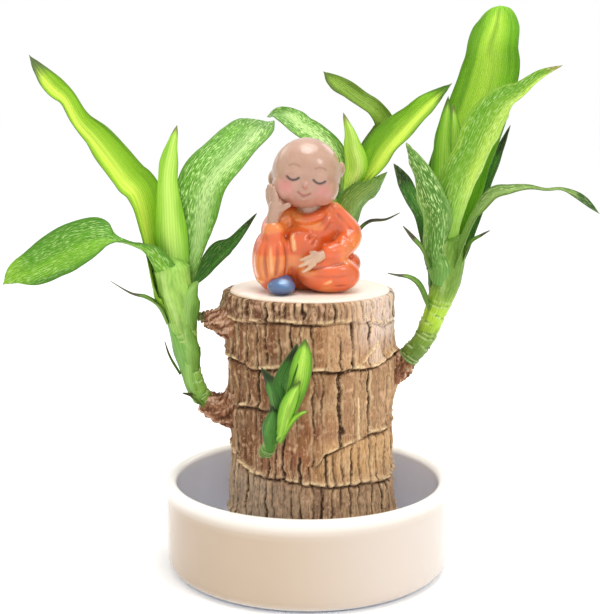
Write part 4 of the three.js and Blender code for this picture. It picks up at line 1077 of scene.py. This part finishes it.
# Folds of the robe: a line on it, its width and how far it stands out. Hollows are negative.
FOLDS = [
    ([(-17.4, -17, 23), (-17.6, -18.6, 15), (-16.2, -18.2, 4)], 0.9, -0.9),
    ([(-15, -18.4, 22), (-14.6, -19.6, 14), (-13.8, -19, 7)], 0.9, 0.5),
    ([(-12, -18.2, 23), (-11.8, -19, 15), (-12.4, -18.6, 8)], 0.9, -0.9),
    ([(-8.6, -16.4, 23), (-8, -16.4, 14), (-8.4, -16.2, 5)], 1.0, -1.0),
    ([(-20, -12, 20), (-20.4, -12.6, 12), (-19, -13, 4)], 0.9, -0.7),
    ([(-20, -14, 5.5), (-16, -18.4, 4.2), (-12, -19.2, 6.6), (-7, -17.4, 5)], 0.7, 0.6),
    ([(8.5, -9.6, 31), (4, -12, 25.5), (-1, -13.2, 21), (-4, -14, 18)], 0.8, -0.8),
    ([(9.5, -9, 28), (6, -11.6, 23.5), (2, -13.4, 19.8)], 0.7, -0.6),
    ([(-5, -11.6, 29), (-6.4, -13.4, 24), (-5.4, -15, 18)], 0.9, 0.8),
    ([(-7.4, -10.6, 28.6), (-8.6, -12.4, 23), (-7.6, -14, 17)], 0.8, -0.9),
    ([(12, -8.4, 31), (16, -10.4, 27), (19.4, -9, 22)], 0.8, -0.7),
    ([(11, -10.6, 27), (14.6, -13, 23), (17.6, -13, 19.6)], 0.8, -0.6),
    ([(10, -13.6, 23), (13, -15.2, 20), (15, -15.4, 17.6)], 0.7, -0.6),
    ([(-5, -17, 12.6), (1, -18.8, 10.6), (8, -20, 12), (15, -17, 13)], 0.9, -0.8),
    ([(-4, -17.8, 8.6), (3, -20, 7.4), (12, -20.2, 7.4), (18, -16, 8.4)], 0.9, -0.5),
    ([(-5, -17, 6.4), (-2.4, -18.8, 4.8), (1, -19.6, 3.8)], 1.2, 0.7),
    ([(1.4, -19.6, 1.6), (6, -20, 4), (9, -20.2, 5.6)], 0.8, 0.6),
    ([(4, -19.6, 1), (10, -19.6, 2.6), (17, -15.6, 4.2)], 0.8, -0.7),
    ([(16, 4, 30), (19, 6, 18), (17, 7, 5)], 1.1, -0.9),
    ([(9, 9, 30), (11, 11.4, 18), (10, 11.8, 4)], 1.1, -0.9),
    ([(0, 9.6, 31), (1, 11.6, 18), (0, 12, 4)], 1.1, -0.9),
    ([(-8, 7.6, 28), (-9, 9.4, 17), (-10, 9.4, 4)], 1.1, -0.9),
]


def ball(rows, columns, gap):
    """Rings of points on a ball of radius 1, from gap radians off its bottom to gap radians off its top."""
    turn = np.linspace(0, 2 * math.pi, columns, endpoint=False)
    fall, turn = np.meshgrid(np.linspace(gap, math.pi - gap, rows), turn, indexing="ij")
    return np.stack([np.sin(fall) * np.cos(turn), np.sin(fall) * np.sin(turn), -np.cos(fall)], -1).reshape(-1, 3)


def moulded(blobs, voxel, rounds):
    """Blobs and limbs melted into one skin: its points, its faces and the way out at each point, in millimetres."""
    points, faces = [], []

    def take(skin, its_faces):
        start = sum(len(p) for p in points)
        points.append(skin)
        faces.extend([[start + corner for corner in face] for face in its_faces])

    for blob in blobs:
        if len(blob) == 3:
            centre, halves, turn = blob
            matrix = np.array(Euler([math.radians(a) for a in turn]).to_matrix())
            take(*capped(ball(26, 40, 0.02) * halves @ matrix.T + centre, 26, 40))
        else:
            axis = np.array(blob[0], float)
            ring, _, _ = limb_rings(axis, blob[1], 14, 18)
            take(*capped(ring, 14, 18))
            for end, radius in ((axis[0], blob[1][0]), (axis[-1], blob[1][-1])):
                take(*capped(ball(12, 18, 0.05) * radius + end, 12, 18))
    mesh = bpy.data.meshes.new("clay")
    mesh.from_pydata(np.vstack(points).tolist(), [], faces)
    clay = bpy.data.objects.new("clay", mesh)
    bpy.context.scene.collection.objects.link(clay)
    melt = clay.modifiers.new("melt", "REMESH")
    melt.mode, melt.voxel_size = "VOXEL", voxel
    rub = clay.modifiers.new("rub", "SMOOTH")
    rub.factor, rub.iterations = 0.6, rounds
    made = clay.evaluated_get(bpy.context.evaluated_depsgraph_get()).to_mesh()
    skin = np.empty(len(made.vertices) * 3, np.float32)
    made.vertices.foreach_get("co", skin)
    outward = np.empty(len(made.vertices) * 3, np.float32)
    made.vertices.foreach_get("normal", outward)
    kept = [list(polygon.vertices) for polygon in made.polygons]
    bpy.data.objects.remove(clay)
    bpy.data.meshes.remove(mesh)
    return skin.reshape(-1, 3).astype(float), kept, outward.reshape(-1, 3).astype(float)


def away_from(points, line):
    """The distance of each point from a bent line."""
    line = np.array(line, float)
    best = np.linalg.norm(points - line[0], axis=1)
    for a, b in zip(line[:-1], line[1:]):
        along = np.clip((points - a) @ (b - a) / max((b - a) @ (b - a), 1e-9), 0, 1)
        best = np.minimum(best, np.linalg.norm(points - a - along[:, None] * (b - a), axis=1))
    return best


def dressed(points, outward, robe):
    """The robe's folds pressed in, and its paint: painted shade in the hollows, painted highlight on the folds."""
    push = np.zeros(len(points))
    for line, width, rise in FOLDS:
        line = smooth(np.array(line, float), np.linspace(0, 1, 14))
        push += rise * bell(away_from(points, line), width)
    colour = np.tile(robe, (len(points), 1))
    highlight_patches = grain(400, np.arctan2(points[:, 1], points[:, 0]) / (2 * math.pi), points[:, 2] / 40, 16, 9)
    # Painted highlight in lighter orange patches, placed at random.
    colour = blend(colour, "#EC8E44", 0.75 * ramp(highlight_patches, 0.0, 0.6))
    # Painted highlight on the folds and painted shade in the hollows.
    colour = blend(colour, "#F6B878", 0.9 * ramp(push, 0.1, 0.5))
    colour = blend(colour, "#9E3E1C", 0.7 * ramp(push, -0.15, -0.8))
    # A dark brown patch is painted on the robe behind the folded leg.
    colour = blend(colour, "#5E3226", 0.85 * bell(np.linalg.norm(points - (20.6, -7.5, 11), axis=1), 2.6))
    # The robe is darker within its lowest 1.6 mm, next to the seat.
    near_seat = ramp(points[:, 2], 1.6, 0.3)
    colour = blend(colour, "#B0632E", 0.5 * near_seat)
    return points + outward * push[:, None], colour


def faced(points, outward, skin):
    """The head with a plain doll's face: closed eyes, a small nose, a calm mouth and round painted cheeks."""
    matrix = np.array(Euler([math.radians(a) for a in HEAD_TURN]).to_matrix())
    local = (points - HEAD) @ matrix
    front = local[:, 1] < -4
    flat = np.c_[local[:, 0], np.zeros(len(local)), local[:, 2]]

    def near(line, width):
        return bell(away_from(flat, [(x, 0, z) for x, z in line]), width) * front

    def curve(x, z, half, drop):
        return [(x + half * t, z - drop * (1 - t * t)) for t in np.linspace(-1, 1, 9)]

    lids = sum(near(curve(side * 5.2, -2.2, 2.3, 1.1), 0.42) for side in (-1, 1))
    brows = sum(near(curve(side * 5.2, 2.2, 2.1, -0.7), 0.4) for side in (-1, 1))
    mouth = near(curve(0, -8.0, 2.4, 0.9), 0.42)
    cheeks = sum(near([(side * 7.2, -6.2)], 3.4) for side in (-1, 1))
    push = 0.9 * cheeks + 1.5 * near([(0, -4.6)], 1.25) + 0.5 * near([(0, -9.8)], 1.1) + 0.6 * near([(0, -11.4)], 2.2)
    push -= 0.35 * lids + 0.45 * mouth
    push += 0.3 * sum(near(curve(side * 5.2, -1.0, 2.4, -0.5), 1.1) for side in (-1, 1))
    colour = np.tile(skin, (len(points), 1))
    colour = blend(colour, "#C08878", 0.4 * ramp(local[:, 2], -4, -12))
    colour = blend(colour, "#CC7670", 0.75 * np.clip(cheeks, 0, 1))
    colour = blend(colour, "#C98074", 0.5 * near([(0, -4.8)], 1.5))
    colour = blend(colour, "#A04A44", 0.85 * mouth)
    colour = blend(colour, "#94694F", 0.75 * brows)
    colour = blend(colour, "#2A1812", np.clip(1.3 * lids, 0, 1))
    return points + outward * push[:, None], colour


def make_figurine(settings):
    shells = []
    points, faces, outward = moulded(ROBE, 0.5, 6)
    points, colour = dressed(points, outward, tuple(settings.robe_colour))
    shells.append((points, faces, colour))
    points, faces, outward = moulded([(HEAD, HEAD_HALVES, HEAD_TURN), *CHEEKS, *EARS], 0.36, 10)
    points, colour = faced(points, outward, tuple(settings.skin_colour))
    shells.append((points, faces, colour))
    points, faces, outward = moulded(SKIN, 0.3, 4)
    colour = np.tile(tuple(settings.skin_colour), (len(points), 1))
    colour = blend(colour, "#E8C49A", 0.45 * ramp(points[:, 2], 20, 12))
    shells.append((points, faces, colour))
    points, faces, outward = moulded(SHOE, 0.4, 6)
    colour = np.tile(tuple(settings.shoe_colour), (len(points), 1))
    # Painted highlight on the shoe's upper front, and painted shade darkening it toward the bottom.
    colour = blend(colour, "#A8CDEE", 0.9 * bell(np.linalg.norm(points - (-9.4, -21.4, 6.0), axis=1), 1.7))
    colour = blend(colour, "#173F78", 0.7 * ramp(points[:, 2], 3.4, 0.8))
    shells.append((points, faces, colour))
    joined, joined_faces, colours = [], [], []
    for points, faces, colour in shells:
        start = sum(len(p) for p in joined)
        # The seat is flat, so nothing reaches below the wax.
        joined.append(np.c_[points[:, :2], SEAT + np.maximum(points[:, 2], 0.02)])
        joined_faces += [[start + corner for corner in face] for face in faces]
        colours.append(colour)
    material = painted_resin()
    put("monk_figurine", np.vstack(joined), joined_faces, material, "painted_resin", "figurine", np.vstack(colours))


# ---- Stage ----


AIM = (0, 0, 0.11)
# Each lamp's name, place, aim and width in metres, and its power as a share of the main lamp's setting.
LAMPS = [
    ("key", (0.8, -0.7, 0.9), AIM, 0.35, 0.8),
    ("top", (0.1, 0.0, 1.3), AIM, 0.9, 2.4),
    ("rear_right", (0.7, 0.9, 0.8), AIM, 0.6, 0.5),
    ("rear_left", (-0.8, 0.7, 0.7), AIM, 0.6, 0.4),
    ("bowl_fill", (0.0, -0.12, 0.75), (0, 0, 0.02), 0.3, 0.35),
]
FLOOR_DROP = 0.0004
CAMERA_PLACE = (-0.0031, -0.520, 0.202)
CAMERA_TILT = 79.95
SENSOR_MM, LENS_MM = 36, 74.8


def make_stage(settings):
    scene = bpy.context.scene
    half = settings.floor_size / 2
    mesh = bpy.data.meshes.new("floor")
    corners = [(x * half, y * half, -FLOOR_DROP) for x, y in ((-1, -1), (1, -1), (1, 1), (-1, 1))]
    mesh.from_pydata(corners, [], [(0, 1, 2, 3)])
    floor = bpy.data.objects.new("floor", mesh)
    mesh.materials.append(studio_floor(tuple(settings.floor_colour)))
    scene.collection.objects.link(floor)
    world = bpy.data.worlds.new("studio")
    world.use_nodes = True
    tree = world.node_tree
    tree.nodes.clear()
    white = {"Color": opaque(linear("#FFFFFF")), "Strength": settings.sky_strength}
    light = add(tree, "ShaderNodeBackground", "Background", white)
    add(tree, "ShaderNodeOutputWorld", sockets={"Surface": light})
    scene.world = world
    scene.view_settings.view_transform = "Standard"
    for name, place, aim, width, share in LAMPS:
        light = bpy.data.lights.new(name, "AREA")
        light.shape, light.size, light.energy = "DISK", width, settings.key_power * share
        lamp = bpy.data.objects.new(name, light)
        lamp.location = place
        lamp.rotation_euler = (Vector(aim) - Vector(place)).to_track_quat("-Z", "Y").to_euler()
        scene.collection.objects.link(lamp)
    data = bpy.data.cameras.new("camera")
    camera = bpy.data.objects.new("camera", data)
    camera.location = CAMERA_PLACE
    camera.rotation_euler = (math.radians(CAMERA_TILT), 0, 0)
    data.sensor_width, data.lens = SENSOR_MM, LENS_MM
    data.clip_start, data.clip_end = 0.01, 100
    scene.collection.objects.link(camera)
    scene.camera = camera


# ---- Settings, operators and panel ----


def length(name, description, default, low, high):
    return FloatProperty(
        name=name, description=description, default=default, min=low, max=high, subtype="DISTANCE", unit="LENGTH"
    )


def paint(name, description, default):
    return FloatVectorProperty(
        name=name, description=description, default=linear(default), size=3, min=0, max=1, subtype="COLOR"
    )


class BowlSettings(PropertyGroup):
    radius: length("Radius", "Outside radius at the rim", 0.060, 0.03, 0.12)
    height: length("Height", "From the foot to the rim", 0.038, 0.02, 0.08)
    wall: length("Wall", "Thickness of the wall", 0.0052, 0.003, 0.01)
    # The warm tan outside is painted reflection and shade on the white glaze.
    outside_colour: paint("Outside", "Glaze outside, where the body shows warm", "#BCA58C")
    lip_colour: paint("Lip", "Glaze on the rim", "#F2EEE6")
    # The inside's blue cast is painted cool light.
    inside_colour: paint("Inside", "Glaze inside, which looks cooler", "#EAF0FF")


class StumpSettings(PropertyGroup):
    relief: length("Relief", "How far the bark plates stand out", 0.001, 0, 0.002)
    bark_colour: paint("Bark", "Base colour of the dry bark", "#A0714A")
    # Painted shade: the colour that darkens the cracks.
    crack_shade_colour: paint("Cracks", "Colour deep in the cracks", "#38200F")


class WaxSettings(PropertyGroup):
    thickness: length("Thickness", "How thick the wax lies on the cut wood", 0.001, 0.0003, 0.003)
    colour: paint("Wax", "Colour of the wax skin", "#F6E9DA")


class LeafSettings(PropertyGroup):
    thickness: length("Thickness", "How thick a blade is at its middle", 0.0006, 0.0003, 0.0012)


class FigurineSettings(PropertyGroup):
    robe_colour: paint("Robe", "Paint of the robe", "#DD5F24")
    skin_colour: paint("Skin", "Paint of the head and hands", "#B48E78")
    shoe_colour: paint("Shoe", "Paint of the shoe", "#2C6699")


class StageSettings(PropertyGroup):
    floor_size: length("Floor", "Width of the floor", 12.0, 1, 50)
    floor_colour: paint("Floor colour", "Colour of the card floor", "#FFFFFF")
    sky_strength: FloatProperty(name="Sky", description="Brightness of the surroundings", default=1.0, min=0, max=5)
    key_power: FloatProperty(
        name="Key", description="Power that the lamps share out", default=2.45, min=0, max=200, unit="POWER"
    )


class PLANT_OT_bowl(Operator):
    """Adds the shallow bowl of white glazed stoneware."""

    bl_idname = "plant.bowl"
    bl_label = "Add bowl"

    def execute(self, context):
        make_bowl(context.scene.plant_bowl)
        return {"FINISHED"}


class PLANT_OT_stump(Operator):
    """Adds the stump with its bark, its collars and the dried bud."""

    bl_idname = "plant.stump"
    bl_label = "Add stump"

    def execute(self, context):
        make_stump(context.scene.plant_stump)
        make_bud()
        return {"FINISHED"}


class PLANT_OT_wax(Operator):
    """Adds the wax seal on the cut top."""

    bl_idname = "plant.wax"
    bl_label = "Add wax seal"

    def execute(self, context):
        make_wax(context.scene.plant_wax)
        return {"FINISHED"}


class PLANT_OT_stems(Operator):
    """Adds the green stems of the side shoots."""

    bl_idname = "plant.stems"
    bl_label = "Add stems"

    def execute(self, context):
        make_stems()
        return {"FINISHED"}


class PLANT_OT_leaves(Operator):
    """Adds every leaf of the side shoots."""

    bl_idname = "plant.leaves"
    bl_label = "Add leaves"

    def execute(self, context):
        make_leaves(context.scene.plant_leaf)
        return {"FINISHED"}


class PLANT_OT_figurine(Operator):
    """Adds the seated figurine of painted resin."""

    bl_idname = "plant.figurine"
    bl_label = "Add figurine"

    def execute(self, context):
        make_figurine(context.scene.plant_figurine)
        return {"FINISHED"}


class PLANT_OT_stage(Operator):
    """Adds the floor, the studio lights and the camera."""

    bl_idname = "plant.stage"
    bl_label = "Add stage"

    def execute(self, context):
        make_stage(context.scene.plant_stage)
        return {"FINISHED"}


OPERATORS = [
    PLANT_OT_bowl, PLANT_OT_stump, PLANT_OT_wax, PLANT_OT_stems, PLANT_OT_leaves, PLANT_OT_figurine, PLANT_OT_stage,
]
GROUPS = {
    "plant_bowl": BowlSettings,
    "plant_stump": StumpSettings,
    "plant_wax": WaxSettings,
    "plant_leaf": LeafSettings,
    "plant_figurine": FigurineSettings,
    "plant_stage": StageSettings,
}


class PLANT_PT_panel(Panel):
    """Lists the plant's settings and the operators that build its pieces."""

    bl_label = "Potted Brazilian wood"
    bl_space_type = "VIEW_3D"
    bl_region_type = "UI"
    bl_category = "Plant"

    def draw(self, context):
        for key, group in GROUPS.items():
            settings = getattr(context.scene, key)
            for name in group.__annotations__:
                self.layout.prop(settings, name)
        for made in OPERATORS:
            self.layout.operator(made.bl_idname)


def register():
    for key, group in GROUPS.items():
        bpy.utils.register_class(group)
        setattr(bpy.types.Scene, key, PointerProperty(type=group))
    for made in (*OPERATORS, PLANT_PT_panel):
        bpy.utils.register_class(made)


def unregister():
    for made in (PLANT_PT_panel, *reversed(OPERATORS)):
        bpy.utils.unregister_class(made)
    for key, group in reversed(GROUPS.items()):
        delattr(bpy.types.Scene, key)
        bpy.utils.unregister_class(group)


def main():
    register()
    for made in OPERATORS:
        group, name = made.bl_idname.split(".")
        getattr(getattr(bpy.ops, group), name)()


if __name__ == "__main__":
    main()
